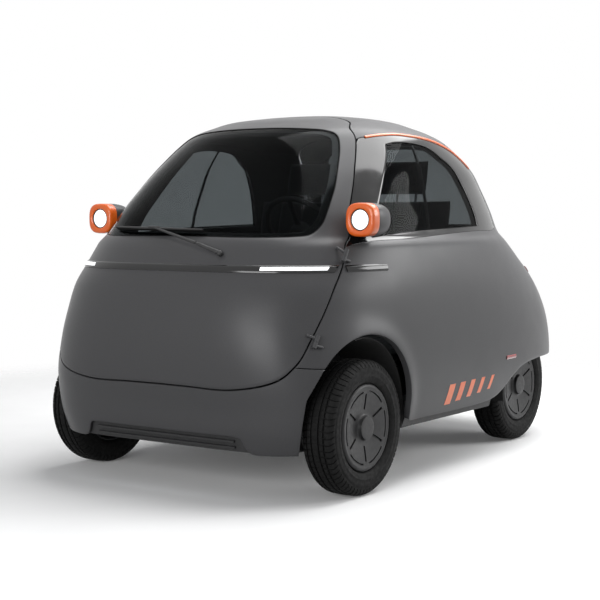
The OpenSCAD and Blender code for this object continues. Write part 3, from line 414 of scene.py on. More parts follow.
print("half width at the axles:", half_width(np.array([FRONT_AXLE, REAR_AXLE]), np.array([500.0, 500.0])).round(1))

# %% [markdown]
# A panel starts as a grid of points near the body. Each point moves along its ray from the middle of the
# cabin until it lies on the surface, found by halving an interval 24 times, for all points at once. The
# outward normal is the direction in which the superellipse's sum grows fastest.

# %% Casting points onto the body
CORE = np.array([0.0, WIDEST_Y + 100, 640.0])


def cast(points):
    p = np.asarray(points, float)
    low, high = np.full(p.shape[:-1], 0.5), np.full(p.shape[:-1], 1.7)
    for _ in range(24):
        middle = (low + high) / 2
        q = CORE + (p - CORE) * middle[..., None]
        inside = (q[..., 2] < ROOF_Z) & (np.abs(q[..., 0]) < half_width(q[..., 1], q[..., 2]))
        low, high = np.where(inside, middle, low), np.where(inside, high, middle)
    q = CORE + (p - CORE) * ((low + high) / 2)[..., None]
    away = np.maximum(np.hypot(q[..., 1] - FRONT_AXLE, q[..., 2] - ARCH_Z) - ARCH_R, 0)
    q[..., 0] += np.sign(q[..., 0]) * np.minimum(np.abs(q[..., 0]) / 300, 1) * 10 * np.exp(-away ** 2 / 2500)
    return q


def unit(v):
    return v / np.maximum(np.linalg.norm(v, axis=-1, keepdims=True), 1e-9)


def normal(points):
    """The gradient of |x/w| to the n plus |y/r| to the n, with its part along Z taken over 4 mm."""
    p = np.asarray(points, float)

    def shares(q):
        s = section(q[..., 2])
        y = q[..., 1] - WIDEST_Y
        n = np.where(y < 0, s[..., 3], s[..., 4])
        reach = np.where(y < 0, WIDEST_Y + s[..., 0], s[..., 2] - WIDEST_Y)
        return s[..., 1], reach, n, y

    w, r, n, y = shares(p)
    lift = np.array([0.0, 0.0, 2.0])

    def total(q):
        w2, r2, n2, y2 = shares(q)
        return (np.abs(q[..., 0]) / w2) ** n2 + (np.abs(y2) / r2) ** n2

    along_x = np.sign(p[..., 0]) * n * (np.abs(p[..., 0]) / w) ** (n - 1) / w
    along_y = np.sign(y) * n * (np.abs(y) / r) ** (n - 1) / r
    return unit(np.stack([along_x, along_y, (total(p + lift) - total(p - lift)) / 4], -1))


print("normal at the nose:", normal(cast([[0.0, -1200.0, 600.0]])).round(3))

# %% [markdown]
# Seams are smooth curves through a few key points. A patch fills four curves, and a ring fills the space
# between two loops. Patches are Coons surfaces: the sum of the two straight blends between opposite edges,
# less the blend between the corners.

# %% Curves and grids
def spline(keys, per=8):
    """A Catmull-Rom curve through the keys: each stretch is the cubic whose ends slope as their neighbours lie."""
    k = np.asarray(keys, float)
    count = len(k) - 1
    at = np.arange(count * per + 1) / per
    i = np.minimum(at.astype(int), count - 1)
    t = (at - i)[:, None]
    a, b = k[np.maximum(i - 1, 0)], k[i]
    c, d = k[i + 1], k[np.minimum(i + 2, count)]
    return 0.5 * (2 * b + (c - a) * t + (2 * a - 5 * b + 4 * c - d) * t ** 2 + (3 * b - a - 3 * c + d) * t ** 3)


def resample(curve, n):
    """n + 1 points evenly by number along a curve's points."""
    at = np.linspace(0, len(curve) - 1, n + 1)
    return np.stack([np.interp(at, np.arange(len(curve)), curve[:, i]) for i in range(curve.shape[1])], -1)


def even(curve, n):
    """n + 1 points evenly by length along a curve."""
    run = np.concatenate([[0], np.cumsum(np.linalg.norm(np.diff(curve, axis=0), axis=1))])
    return np.stack([np.interp(np.linspace(0, run[-1], n + 1), run, curve[:, i]) for i in range(3)], -1)


FLIP = np.array([-1.0, 1.0, 1.0])


def both_halves(half):
    """A loop from its half at positive X."""
    return np.concatenate([half, half[-2:0:-1] * FLIP])


def across(half):
    """A curve across the car from its half, which starts on the middle line."""
    return np.concatenate([half[:0:-1] * FLIP, half])


def patch(bottom, top, left, right):
    s = np.linspace(0, 1, len(bottom))[None, :, None]
    t = np.linspace(0, 1, len(left))[:, None, None]
    edges = bottom[None] * (1 - t) + top[None] * t + left[:, None] * (1 - s) + right[:, None] * s
    return edges - (bottom[0] * (1 - s) + bottom[-1] * s) * (1 - t) - (top[0] * (1 - s) + top[-1] * s) * t


def ring(outer, inner, n):
    t = np.linspace(0, 1, n + 1)[:, None, None]
    return outer[None] * (1 - t) + inner[None] * t


def window_grid(half, a, b, n):
    """A window's patch from half its loop, with its corners at the points number a and b."""
    side = half[a:b + 1]
    return patch(resample(across(half[b:][::-1]), n), resample(across(half[:a + 1]), n), side[::-1] * FLIP, side[::-1])


def pull(edge, to, gap):
    """Moves an edge along the body at right angles to itself: its run crossed with the normal, towards the next row."""
    run = np.concatenate([edge[1:2] - edge[:1], edge[2:] - edge[:-2], edge[-1:] - edge[-2:-1]])
    aside = unit(np.cross(normal(edge), run))
    return edge + gap * np.sign((aside * (to - edge)).sum()) * aside


def softened(g, gaps, edge):
    """Draws the first and last rows in by the gaps and adds rows that fall over an edge of that radius."""
    steps = ((0.0, 1.0), (0.3, 0.3), (1.0, 0.0))
    head = [pull(g[0], g[1], gaps[0] + s * edge) for s, _ in steps]
    tail = [pull(g[-1], g[-2], gaps[1] + s * edge) for s, _ in steps[::-1]]
    fall = np.zeros(len(g) + 4)
    fall[:3], fall[-3:] = [edge * d for _, d in steps], [edge * d for _, d in steps[::-1]]
    return np.concatenate([head, g[1:-1], tail]), fall


PER = 8
DOOR = [[0, 1516.2], [200, 1511], [330, 1489.7], [400, 1451.9], [462, 1398.1], [526, 1271.1], [569, 1149.9],
        [600, 1031.8], [628, 967], [648, 886], [656, 770], [636, 617], [604, 524], [530, 462], [353, 428],
        [150, 429], [0, 430]]
SCREEN = [[0, 1456.1], [120, 1455], [226, 1450.9], [330, 1442.1], [395, 1419.8], [440, 1365.4], [480, 1285.1],
          [512, 1204.8], [531, 1134.9], [541, 1080], [540, 1044.8], [528, 1017.8], [500, 1008], [400, 1004],
          [260, 1004], [120, 1006], [0, 1007]]
HATCH = [[0, 1478], [200, 1474], [330, 1452], [420, 1400], [470, 1300], [505, 1170], [532, 1040], [538, 960],
         [534, 912], [500, 889], [400, 882], [200, 880], [0, 880]]
REAR_WINDOW = [[0, 1425], [160, 1422], [280, 1405], [360, 1365], [405, 1290], [432, 1200], [448, 1120],
               [446, 1075], [425, 1048], [380, 1035], [280, 1028], [140, 1026], [0, 1026]]
TAIL = [[534, 912], [543, 850], [552, 760], [562, 600], [566, 500], [560, 400]]
door_seam, screen_edge = from_front(spline(DOOR, PER)), from_front(spline(SCREEN, PER))
hatch_seam, rear_edge = from_rear(spline(HATCH, PER)), from_rear(spline(REAR_WINDOW, PER))
tail_seam = from_rear(spline(TAIL, PER))
BELT = spline([[628, -871, 967], [655, -720, 987], [676, -500, 994], [664, -186, 1004], [628, 200, 1010],
               [600, 399, 1014], [560, 511, 1025]], PER)
RAIL = spline([[462, -519, 1398], [490, -400, 1413], [502, -250, 1421], [508, -50, 1412], [505, 100, 1388]], PER)
BACK = spline([[505, 100, 1388], [505, 210, 1360], [520, 330, 1300], [545, 430, 1180], [560, 511, 1025]], PER)
print("door seam:", len(door_seam), "points, screen:", len(screen_edge), "points")

# %% [markdown]
# One function makes a mesh and another makes a panel. A panel's outside is its grid on the body, with the edges
# rounded over. Its inside is the same grid sunk along the analytic normal by the wall's thickness, and quads
# along the border close the two. Edges sharper than 50 degrees stay crisp.

# %% Meshes from grids
def quads(rows, columns, closed):
    """Four corners for each cell of a grid whose rows may close on themselves."""
    ids = np.arange(rows * columns).reshape(rows, columns)
    if closed:
        ids = np.concatenate([ids, ids[:, :1]], 1)
    return np.stack([ids[:-1, :-1], ids[:-1, 1:], ids[1:, 1:], ids[1:, :-1]], -1).reshape(-1, 4)


def np_list(faces):
    """Faces as lists of numbers, from an array or from lists of any length."""
    return faces.tolist() if isinstance(faces, np.ndarray) else faces


def mesh_object(name, parts, material, body, uvs=None):
    """One object from several (points, faces) pairs, in millimetres. It rides on a body."""
    starts = np.cumsum([0] + [len(p) for p, _ in parts[:-1]])
    points = np.concatenate([p for p, _ in parts]) / 1000.0
    faces = [[i + start for i in f] for (_, fs), start in zip(parts, starts.tolist()) for f in np_list(fs)]
    mesh = bpy.data.meshes.new(name)
    mesh.from_pydata(points.tolist(), [], faces)
    mesh.polygons.foreach_set("use_smooth", np.ones(len(mesh.polygons), bool))
    if uvs is not None:
        layer = mesh.uv_layers.new(name="cloth")
        corners = np.empty(len(mesh.loops), np.int32)
        mesh.loops.foreach_get("vertex_index", corners)
        layer.data.foreach_set("uv", (np.concatenate(uvs) / 1000.0)[corners].ravel())
    mesh.update()
    mesh.set_sharp_from_angle(angle=math.radians(50))
    item = bpy.data.objects.new(name, mesh)
    bpy.context.scene.collection.objects.link(item)
    for one in material if isinstance(material, (list, tuple)) else [material]:
        mesh.materials.append(one)
    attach(item, body)
    return item


def closed_sheet(outer, inner, closed=False):
    """The (points, faces, inside flags) of a solid between two grids, with its faces looking outwards."""
    rows, columns = outer.shape[:2]
    count = rows * columns
    faces = quads(rows, columns, closed)
    ids = np.arange(count).reshape(rows, columns)
    if closed:
        first, last = np.append(ids[0], ids[0, 0]), np.append(ids[-1], ids[-1, 0])[::-1]
        border = [first, last]
    else:
        border = [np.concatenate([ids[0, :-1], ids[:-1, -1], ids[-1, :0:-1], ids[:0:-1, 0], ids[0, :1]])]
    walls = np.concatenate([np.stack([b[1:], b[:-1], b[:-1] + count, b[1:] + count], -1) for b in border])
    every = np.concatenate([faces, faces[:, ::-1] + count, walls])
    j, i = rows // 2, columns // 3
    turn = np.cross(outer[j, i + 1] - outer[j, i], outer[min(j + 1, rows - 1), i] - outer[min(j, rows - 2), i])
    if (turn * (outer[j, i] - inner[j, i])).sum() < 0:
        every = every[:, ::-1]
    flags = np.concatenate([np.zeros(len(faces), int), np.ones(len(faces), int), np.zeros(len(walls), int)])
    return np.concatenate([outer.reshape(-1, 3), inner.reshape(-1, 3)]), every, flags


def panel(name, grid, depths, rows, ends, look, body, edge=1.5, closed=False, mirror=False):
    """A panel between two depths under the body. rows and ends are the gaps along its edges, in millimetres."""
    g, fall = softened(cast(grid), rows, edge)
    sunk = np.repeat(fall[:, None], g.shape[1], 1)
    if not closed:
        turned_grid, fall = softened(g.swapaxes(0, 1), ends, edge)
        g = turned_grid.swapaxes(0, 1)
        sunk = np.repeat(sunk, [3] + [1] * (sunk.shape[1] - 2) + [3], 1) + fall[None]
    n = normal(g)
    outer, inner = g - (depths[0] + np.minimum(sunk, 1.3 * edge))[..., None] * n, g - depths[1] * n
    points, faces, flags = closed_sheet(outer, inner, closed)
    parts = [(points, faces)] + ([(points * FLIP, faces[:, ::-1])] if mirror else [])
    item = mesh_object(name, parts, look, body)
    if isinstance(look, list):
        item.data.polygons.foreach_set("material_index", np.tile(flags, len(parts)).astype(np.int32))
    return item


SEAM, FIT = 3.0, 0.25
print("mesh helpers are ready")

# %% [markdown]
# ## Body panels
# The nose is one door with the windscreen in it. The side walls, bumper, tail, roof and quarters follow
# the source's seams, with finer grids, so that the gaps lie where the solids have them.

# %% Door and windscreen
door_loop, screen_loop = both_halves(door_seam), both_halves(screen_edge)
door = panel("door_skin", ring(door_loop, screen_loop, 30), (0, 38), (SEAM, FIT), None, [paint, trim], "door",
             edge=2.5, closed=True)
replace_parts(door, "door_shell")
screen = panel("windscreen_glass", window_grid(screen_edge, 4 * PER, 11 * PER, 48), (3, 8), (FIT, FIT), (FIT, FIT), tinted,
               "door", edge=0.6)
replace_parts(screen, "windscreen")


def inset_loop(loop, distance):
    """A loop on the body drawn in: each point moves towards the loop's middle by the distance, then is cast."""
    middle = loop.mean(0)
    run = unit(np.roll(loop, -1, 0) - np.roll(loop, 1, 0))
    v = middle - loop
    return cast(loop + distance * unit(v - run * (run * v).sum(-1, keepdims=True)))


frit = panel("windscreen_black_band", ring(inset_loop(screen_loop, 2.0), inset_loop(screen_loop, 34.0), 4), (8.4, 9.2), (0, 0),
             None, gloss, "door", edge=0.2, closed=True)


def tube(path, radius, sides=10, closed=True, squash=(1.0, 1.0)):
    """A round bar along a path: at each point a circle in the plane of two directions at right angles to the run."""
    path = np.asarray(path, float)
    if closed:
        run = unit(np.roll(path, -1, 0) - np.roll(path, 1, 0))
    else:
        run = unit(np.gradient(path, axis=0))
    up = np.where(np.abs(run[:, 2:3]) > 0.9, np.array([[0.0, 1.0, 0.0]]), np.array([[0.0, 0.0, 1.0]]))
    side = unit(np.cross(run, up))
    other = np.cross(side, run)
    angle = np.linspace(0, 2 * np.pi, sides, endpoint=False)
    radius = np.broadcast_to(np.asarray(radius, float), (len(path),))
    ring_points = (path[:, None] + radius[:, None, None] * (side[:, None] * np.cos(angle)[None, :, None] * squash[0]
                   + other[:, None] * np.sin(angle)[None, :, None] * squash[1]))
    n = len(path)
    ids = np.arange(n * sides).reshape(n, sides)
    ids = np.concatenate([ids, ids[:, :1]], 1)
    if closed:
        ids = np.concatenate([ids, ids[:1]], 0)
    faces = np.stack([ids[:-1, :-1], ids[:-1, 1:], ids[1:, 1:], ids[1:, :-1]], -1).reshape(-1, 4)
    points = ring_points.reshape(-1, 3)
    if closed:
        return points, faces
    ends = np.vstack([path[:1], path[-1:]])
    points = np.vstack([points, ends])
    first = np.stack([np.full(sides, n * sides), ids[0, 1:], ids[0, :-1], ids[0, :-1]], -1)
    last = np.stack([np.full(sides, n * sides + 1), ids[-1, :-1], ids[-1, 1:], ids[-1, 1:]], -1)
    return points, [f[:4] for f in faces.tolist()] + [f[:3] for f in np.vstack([first, last]).tolist()]


print("door and windscreen:", len(door.data.polygons), len(screen.data.polygons), "faces before their walls")

# %% Side walls and bumper
angles = np.radians(np.linspace(143, 0, 49))
arch = from_side(np.column_stack([FRONT_AXLE + ARCH_R * np.cos(angles), ARCH_Z + ARCH_R * np.sin(angles)]))
rear_arch = REAR_AXLE - 32
tail_y = tail_seam[-1, 1]
SILL = [[-565, 341], [-562, 290], [-540, 258], [-400, 256], [-98, 254], [150, 260], [260, 285], [380, 350],
        [500, 392], [rear_arch, 406], [rear_arch + 0.44 * (tail_y - rear_arch), 404],
        [rear_arch + 0.75 * (tail_y - rear_arch), 402]]
sill = from_side(spline(SILL, PER))
wing_seam = resample(np.array([door_seam[12 * PER], arch[0]]), 8)
bottom = np.concatenate([wing_seam, arch[1:], sill[1:-1], tail_seam[-1:]])
belt_line = np.concatenate([BELT, hatch_seam[6 * PER:6 * PER + 1]])
share = (bottom[:, 1] - bottom[0, 1]) / (bottom[-1, 1] - bottom[0, 1])
top_y = belt_line[0, 1] + (belt_line[-1, 1] - belt_line[0, 1]) * share
top = np.stack([np.interp(top_y, belt_line[:, 1], belt_line[:, i]) for i in range(3)], -1)
left = resample(door_seam[8 * PER:12 * PER + 1][::-1], 40)
right = resample(np.concatenate([tail_seam[::-1], hatch_seam[6 * PER:8 * PER][::-1]]), 40)
side_grid = patch(bottom, top, left, right)
for name, one in (("left", side_grid), ("right", side_grid * FLIP)):
    wall = panel("side_wall_" + name, one, (0, 26), (0, 0.6), (SEAM, 0.6), [paint, dark], "body", edge=1.0)
    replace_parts(wall, "side_panel_" + name)

HEM = [[0, 246], [200, 246], [368, 245], [396, 216], [424, 183], [500, 180], [586, 182]]
BUMPER_END = [[586, 182], [607, 262], [620, 330], [633, 400]]
end = even(np.concatenate([from_front(spline(BUMPER_END, PER)), arch[:1]]), 28)
top = across(np.concatenate([door_seam[12 * PER:][::-1], wing_seam[1:]]))
low_edge = across(even(from_front(spline(HEM, PER)), 40))
bumper = panel("bumper_skin", patch(low_edge, top, end * FLIP, end), (0, 10), (0, SEAM), (0, 0), [paint, dark], "body",
               edge=2.0)
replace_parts(bumper, "front_bumper")
print("side wall and bumper:", len(wall.data.polygons), len(bumper.data.polygons), "faces")

# %% Roof, quarters and tail
SUN = spline([[0, -292, 1510], [170, -290, 1505], [284, -262, 1490], [296, -110, 1490], [284, 30, 1480],
              [170, 60, 1490], [0, 62, 1495]], 2 * PER)
corner = (RAIL[-1] + hatch_seam[3 * PER]) / 2
half = np.concatenate([door_seam[:4 * PER + 1], RAIL[1:], corner[None], hatch_seam[:3 * PER + 1][::-1]])
front_end, rear_end = len(half) // 6, 2 * len(half) // 3
sun_half = np.concatenate([resample(SUN[:4 * PER + 1], front_end)[:-1],
                           resample(SUN[4 * PER:8 * PER + 1], rear_end - front_end)[:-1],
                           resample(SUN[8 * PER:], len(half) - 1 - rear_end)])
roof = panel("roof_skin", ring(both_halves(half), both_halves(sun_half), 24), (0, 26), (SEAM, FIT), None, [paint, trim], "body",
             edge=1.2, closed=True)
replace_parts(roof, "roof")
sunroof = panel("sunroof_panel", window_grid(SUN, 4 * PER, 8 * PER, 40), (1.5, 17.5), (FIT, FIT), (FIT, FIT), [gloss, trim], "body",
                edge=1.5)
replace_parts(sunroof, "sunroof")

bottom = resample(np.array([BACK[-1], hatch_seam[6 * PER]]), 20)
top = resample(np.array([RAIL[-1], hatch_seam[3 * PER]]), 20)
grid = patch(bottom, top, resample(BACK[::-1], 32), resample(hatch_seam[3 * PER:6 * PER + 1][::-1], 32))
quarters = panel("quarter_skins", grid, (0, 26), (FIT, FIT), (0.4, SEAM), [paint, trim], "body", edge=0.8, mirror=True)
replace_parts(quarters, "quarter_panels")

end = tail_seam[::-1]
top = across(hatch_seam[8 * PER:12 * PER + 1][::-1])
low_edge = across(resample(np.array([from_rear([0, 404]), from_rear([300, 403]), tail_seam[-1]]), 4 * PER))
tail = panel("tail_skin", patch(low_edge, top, end * FLIP, end), (0, 26), (0, SEAM), (0.4, 0.4), [paint, dark], "body",
             edge=1.0)
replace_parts(tail, "tail_panel")

rear_loop = both_halves(rear_edge)
gate = panel("tailgate_skin", ring(both_halves(hatch_seam), rear_loop, 16), (0, 26), (SEAM, FIT), None, [paint, trim], "tailgate",
             edge=1.8, closed=True)
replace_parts(gate, "hatch")
back_glass = panel("rear_glass", window_grid(rear_edge, 3 * PER, 8 * PER, 40), (3, 8), (FIT, FIT), (FIT, FIT), tinted, "tailgate",
                   edge=0.6)
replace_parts(back_glass, "rear_window")
back_frit = panel("rear_glass_black_band", ring(inset_loop(rear_loop, 2.0), inset_loop(rear_loop, 24.0), 3), (8.4, 9.2), (0, 0),
                  None, gloss, "tailgate", edge=0.2, closed=True)
print("roof, quarters, tail and tailgate are on the body's surface")

# %% [markdown]
# The side windows sit in a polished black frame that runs from the door's seam to the shoulder. A rubber
# seal lies in the joint round each pane.

# %% Side windows
GLASS_FRONT = spline([[645, -700, 1000], [612, -590, 1150], [559, -456, 1312], [520, -405, 1375]], 10)
GLASS_TOP = spline([[520, -405, 1375], [522, -300, 1384], [528, -150, 1382], [538, -60, 1365], [555, 5, 1330]], 10)
GLASS_BACK = spline([[555, 5, 1330], [566, 70, 1290], [590, 140, 1200], [614, 190, 1110], [630, 215, 1036]], 10)
GLASS_FOOT = spline([[630, 215, 1036], [648, 0, 1030], [656, -300, 1024], [656, -500, 1016], [645, -700, 1000]], 10)


def chain(curves, counts):
    """A closed loop from curves that meet end to end, each cut into so many stretches."""
    return np.concatenate([resample(c, n)[:-1] for c, n in zip(curves, counts)])


pillar = resample(door_seam[4 * PER:8 * PER + 1][::-1], 40)[:-1]
pillar = pull(pillar, pillar + [0.0, 100.0, 0.0], SEAM)
outer = np.concatenate([pillar, chain([RAIL, BACK, BELT[::-1]], [40, 40, 60])])
inner = chain([GLASS_FRONT, GLASS_TOP, GLASS_BACK, GLASS_FOOT], [40, 40, 40, 60])
frames = panel("side_window_frames", ring(outer, inner, 12), (0, 26), (FIT, FIT), None, [gloss, trim], "body",
               edge=1.0, closed=True, mirror=True)
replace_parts(frames, "window_frames")
grid = patch(resample(GLASS_FOOT[::-1], 40), resample(GLASS_TOP, 40), resample(GLASS_FRONT, 32),
             resample(GLASS_BACK[::-1], 32))
panes = panel("side_panes", grid, (3, 8), (FIT, FIT), (FIT, FIT), tinted, "body", edge=0.6, mirror=True)
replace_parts(panes, "side_glass")
seal = cast(inner)
seal = tube(seal - 2.6 * normal(seal), 2.4, 8)
mesh_object("side_seals", [seal, (seal[0] * FLIP, seal[1][:, ::-1])], rubber, "body")
for name, loop, body in (("windscreen_seal", screen_loop, "door"), ("rear_glass_seal", rear_loop, "tailgate")):
    line = cast(loop)
    mesh_object(name, [tube(line - 2.4 * normal(line), 2.6, 8)], rubber, body)
bar = resample(np.array([[655.0, -250.0, 1022.0], [524.0, -190.0, 1384.0]]), 24)
bar = cast(bar)
rail = tube(bar - 12 * normal(bar), 8.0, 10, closed=False, squash=(1.0, 0.5))
mesh_object("sliding_pane_bars", [rail, (rail[0] * FLIP, [f[::-1] for f in rail[1]])], gloss, "body")
print("window frames:", len(frames.data.polygons), "faces")

# %% [markdown]
# Trim strips are moulded bars that stand about 5 mm off the skin. Each is a band on the body with its
# section bulged across, so a highlight runs along it. The lamps at the ends of the front strip are white
# light guides set in it.

# %% Strips
def raised(low_line, high_line, out, rows=7, mirror=False, foot=0.9):
    """A band between two lines on the body, bulged outwards by the root of a parabola across it, and closed behind."""
    t = np.linspace(0, 1, rows)[:, None, None]
    g = cast(low_line[None] * (1 - t) + high_line[None] * t)
    bulge = foot + (out - foot) * (1 - (2 * t - 1) ** 4) ** 0.5
    top = g + bulge * normal(g)
    back = (g + (foot - 0.3) * normal(g))[::-1]
    loop = np.concatenate([top, back])
    rows_all, columns = loop.shape[:2]
    ids = np.arange(rows_all * columns).reshape(rows_all, columns)
    ids = np.concatenate([ids, ids[:1]])
    faces = np.stack([ids[:-1, :-1], ids[:-1, 1:], ids[1:, 1:], ids[1:, :-1]], -1).reshape(-1, 4)
    j, i = rows // 2, columns // 2
    turn = np.cross(top[j, i + 1] - top[j, i], top[j + 1, i] - top[j, i])
    caps = [ids[:-1, 0].tolist(), ids[:-1, -1][::-1].tolist()]
    faces = faces.tolist()
    if (turn * normal(g[j, i])).sum() < 0:
        faces = [f[::-1] for f in faces]
        caps = [c[::-1] for c in caps]
    points = loop.reshape(-1, 3)
    every = faces + caps
    made = [(points, every)]
    return made + ([(points * FLIP, [f[::-1] for f in every])] if mirror else [])


strip_x = np.linspace(-638, 638, 97)
strip = raised(from_front(np.column_stack([strip_x, np.full(97, 870.5)])),
               from_front(np.column_stack([strip_x, np.full(97, 897.5)])), 5.3, foot=1.8)
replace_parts(mesh_object("front_strip", strip, gloss, "door"), "light_strip")
bar_x = np.linspace(424, 620, 33)
bars = raised(from_front(np.column_stack([bar_x, np.full(33, 877.5)])),
              from_front(np.column_stack([bar_x, np.full(33, 890.5)])), 8.6, rows=5, mirror=True, foot=5.6)
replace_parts(mesh_object("light_guides", bars, glow, "door"), "lamp_bars")
wing_y = np.linspace(-903, -687, 28)
fins = raised(from_side(np.column_stack([wing_y, np.full(28, 870.5)])),
              from_side(np.column_stack([wing_y, np.full(28, 897.5)])), 5.3, mirror=True)
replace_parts(mesh_object("wing_fins", fins, gloss, "body"), "wing_strips")
roof_line = np.concatenate([RAIL, BACK[1:2 * PER + 1]])[3:]
lift = np.array([0.6, 0.0, -1.0])
rails = raised(roof_line + 6 * lift, roof_line - 6 * lift, 5.3, mirror=True)
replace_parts(mesh_object("roof_rail_trims", rails, orange, "body"), "roof_strips")

lens_x = np.linspace(330, 520, 28)
lamps = raised(from_rear(np.column_stack([lens_x, np.full(28, 790.0)])),
               from_rear(np.column_stack([lens_x, np.full(28, 830.0)])), 12, rows=9, mirror=True)
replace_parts(mesh_object("rear_lamp_lenses", lamps, ruby, "body"), "rear_lamps")
mark_y = np.linspace(300, 400, 15)
marks = raised(from_side(np.column_stack([mark_y, np.full(15, 432.0)])),
               from_side(np.column_stack([mark_y, np.full(15, 450.0)])), 4, rows=5, mirror=True)
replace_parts(mesh_object("side_marker_lenses", marks, ruby, "body"), "side_reflectors")
print("strips and lamps: 6 pieces")

# %% [markdown]
# Low on each side the real car wears a slanted graphic. Here it is five plain orange bars of film, which
# lean back as the originals do and lie 0.4 mm off the skin.

# %% Slanted bars
parts = []
for k in range(5):
    y0 = -262 + 96 * k
    low_z, high_z = 288.0 + 7.0 * k, 372.0 + 1.0 * k
    width = 50.0 - 6.0 * k
    low_y = np.linspace(y0, y0 + width, 5)
    a = from_side(np.column_stack([low_y, np.full(5, low_z)]))
    b = from_side(np.column_stack([low_y + 34, np.full(5, high_z)]))
    t = np.linspace(0, 1, 7)[:, None, None]
    film = cast(a[None] * (1 - t) + b[None] * t)
    n = normal(film)
    points, faces, _ = closed_sheet(film + 0.5 * n, film + 0.1 * n)
    parts += [(points, faces), (points * FLIP, faces[:, ::-1])]
films = mesh_object("slanted_side_bars", parts, orange, "body")
print("bars:", len(parts))

# %% [markdown]
# ## Pods, lamps and mirrors
# A turned part is a profile of radii and distances swept round an axis. Where the ring should be a rounded
# square, the circle becomes a superellipse: the radius at each angle is divided by the sum of the cosine's
# and the sine's powers, to the one over that power.

# %% Turned shapes
def outward(points, faces):
    """Turns a closed mesh's faces to look outwards: the volume by Gauss's sum over triangle fans must be positive."""
    total = 0.0
    for size in {len(f) for f in faces}:
        corner = points[np.array([f for f in faces if len(f) == size])]
        for k in range(1, size - 1):
            total += (corner[:, 0] * np.cross(corner[:, k], corner[:, k + 1])).sum()
    return points, (faces if total > 0 else [f[::-1] for f in faces])


def turned(profile, sides=64, closed=False):
    """Sweeps rows of (radius, along, power) round the Z axis. A radius of 0 at an end is a pole."""
    rows = np.array([(*p, 2.0)[:3] for p in profile], float)
    a = np.linspace(0, 2 * np.pi, sides, endpoint=False)
    poles = [i for i in (0, len(rows) - 1) if rows[i, 0] == 0]
    keep = np.delete(rows, poles, 0)
    power = keep[:, 2:3]
    scale = (np.abs(np.cos(a)) ** power + np.abs(np.sin(a)) ** power) ** (-1 / power) * keep[:, :1]
    points = np.stack([scale * np.cos(a), scale * np.sin(a), np.repeat(keep[:, 1:2], sides, 1)], -1).reshape(-1, 3)
    ids = np.arange(len(keep) * sides).reshape(-1, sides)
    ids = np.concatenate([ids, ids[:, :1]], 1)
    if closed:
        ids = np.concatenate([ids, ids[:1]])
    faces = np.stack([ids[:-1, :-1], ids[:-1, 1:], ids[1:, 1:], ids[1:, :-1]], -1).reshape(-1, 4).tolist()
    for i in poles:
        ring_ids, tip = (ids[0], len(points)) if i == 0 else (ids[-1], len(points))
        points = np.vstack([points, [0, 0, rows[i, 1]]])
        fan = np.column_stack([np.full(sides, tip), ring_ids[:-1], ring_ids[1:]]).tolist()
        faces += [f[::-1] for f in fan] if i == 0 else fan
    return outward(points, faces)


def placed(part, at, turn=np.eye(3)):
    """Turns a part by a matrix and moves it. A matrix that mirrors also turns the faces round."""
    points, faces = part
    faces = faces.tolist() if isinstance(faces, np.ndarray) else faces
    faces = faces if np.linalg.det(turn) > 0 else [f[::-1] for f in faces]
    return points @ np.asarray(turn, float).T + np.asarray(at, float), faces


def both_sides(parts):
    """The parts and their twins on the car's right."""
    return parts + [placed(p, (0, 0, 0), np.diag([-1, 1, 1])) for p in parts]


TO_REAR = np.array([[1, 0, 0], [0, 0, 1], [0, -1, 0]], float)
print("a turned test part has", len(turned([(0, 0), (5, 0), (5, 3), (0, 3)])[1]), "faces")

# %% [markdown]
# Each pod is a rounded grey shell with a lamp at its front and a mirror at its back. The orange bezel is
# a ring whose outside is a rounded square and whose inside is round. The lamp is a milky diffuser behind
# shallow rings, in a dark gasket.

# %% Pods
POD = np.array([680.0, -851.0, 1072.0])
shell_profile = [(0, 46.3), (60, 46.3, 2.7), (64.6, 47.5, 2.7), (65.7, 52, 2.7), (65.8, 66, 2.7), (65.2, 84, 2.7),
                 (63.2, 104, 2.7), (60.2, 122, 2.65), (56.6, 136, 2.6), (53.4, 145, 2.5), (50.6, 149.2, 2.3), (49, 150, 2.1),
                 (0, 150)]
foot_at = cast([[604.0, POD[1] + 127, POD[2] - 4]])[0]
foot_normal = normal(foot_at)
arm_path = np.linspace(POD + [-54, 92, -2], foot_at + 1.5 * foot_normal, 14)
arm = tube(arm_path, 13 + 5 * np.linspace(-1, 1, 14) ** 4, 24, closed=False, squash=(1.5, 1.0))
shells = mesh_object("pod_shells", both_sides([placed(turned(shell_profile, 96), POD, TO_REAR), arm]), paint, "body")
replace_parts(shells, "mirror_pods")
bezel_profile = [(41.8, 46), (41.8, 9, 2.0), (42.4, 4.6, 2.0), (44.6, 1.8, 2.1), (49, 0.4, 2.3), (54, 0.2, 2.6), (59, 1.3, 2.9),
                 (63, 4.2, 3.0), (65.2, 9, 3.0), (66, 16, 3.0), (66, 30, 3.0), (66, 44, 3.0), (65.4, 45.8, 3.0), (60, 46, 3.0)]
bezels = mesh_object("pod_bezels", both_sides([placed(turned(bezel_profile, 96, closed=True), POD, TO_REAR)]),
                     orange, "body")
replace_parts(bezels, "mirror_bezels")
gasket = [(38.6, 12), (38.6, 5.4), (39.4, 4.2), (41.0, 4.0), (41.6, 5.2), (41.6, 12)]
mesh_object("lamp_gaskets", both_sides([placed(turned(gasket, 72, closed=True), POD, TO_REAR)]), gloss, "body")
lens_profile = [(0, 3.4)] + [(r, 3.4 + 4.2 * (r / 38.4) ** 2.4 + 0.35 * math.cos(r * 1.7)) for r in np.linspace(1.5, 37.5, 37)]
lens_profile += [(38.4, 9.5), (38.4, 30), (0, 30)]
lenses = mesh_object("lamp_diffusers", both_sides([placed(turned(lens_profile, 72), POD, TO_REAR)]), glow, "body")
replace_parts(lenses, "headlamps")
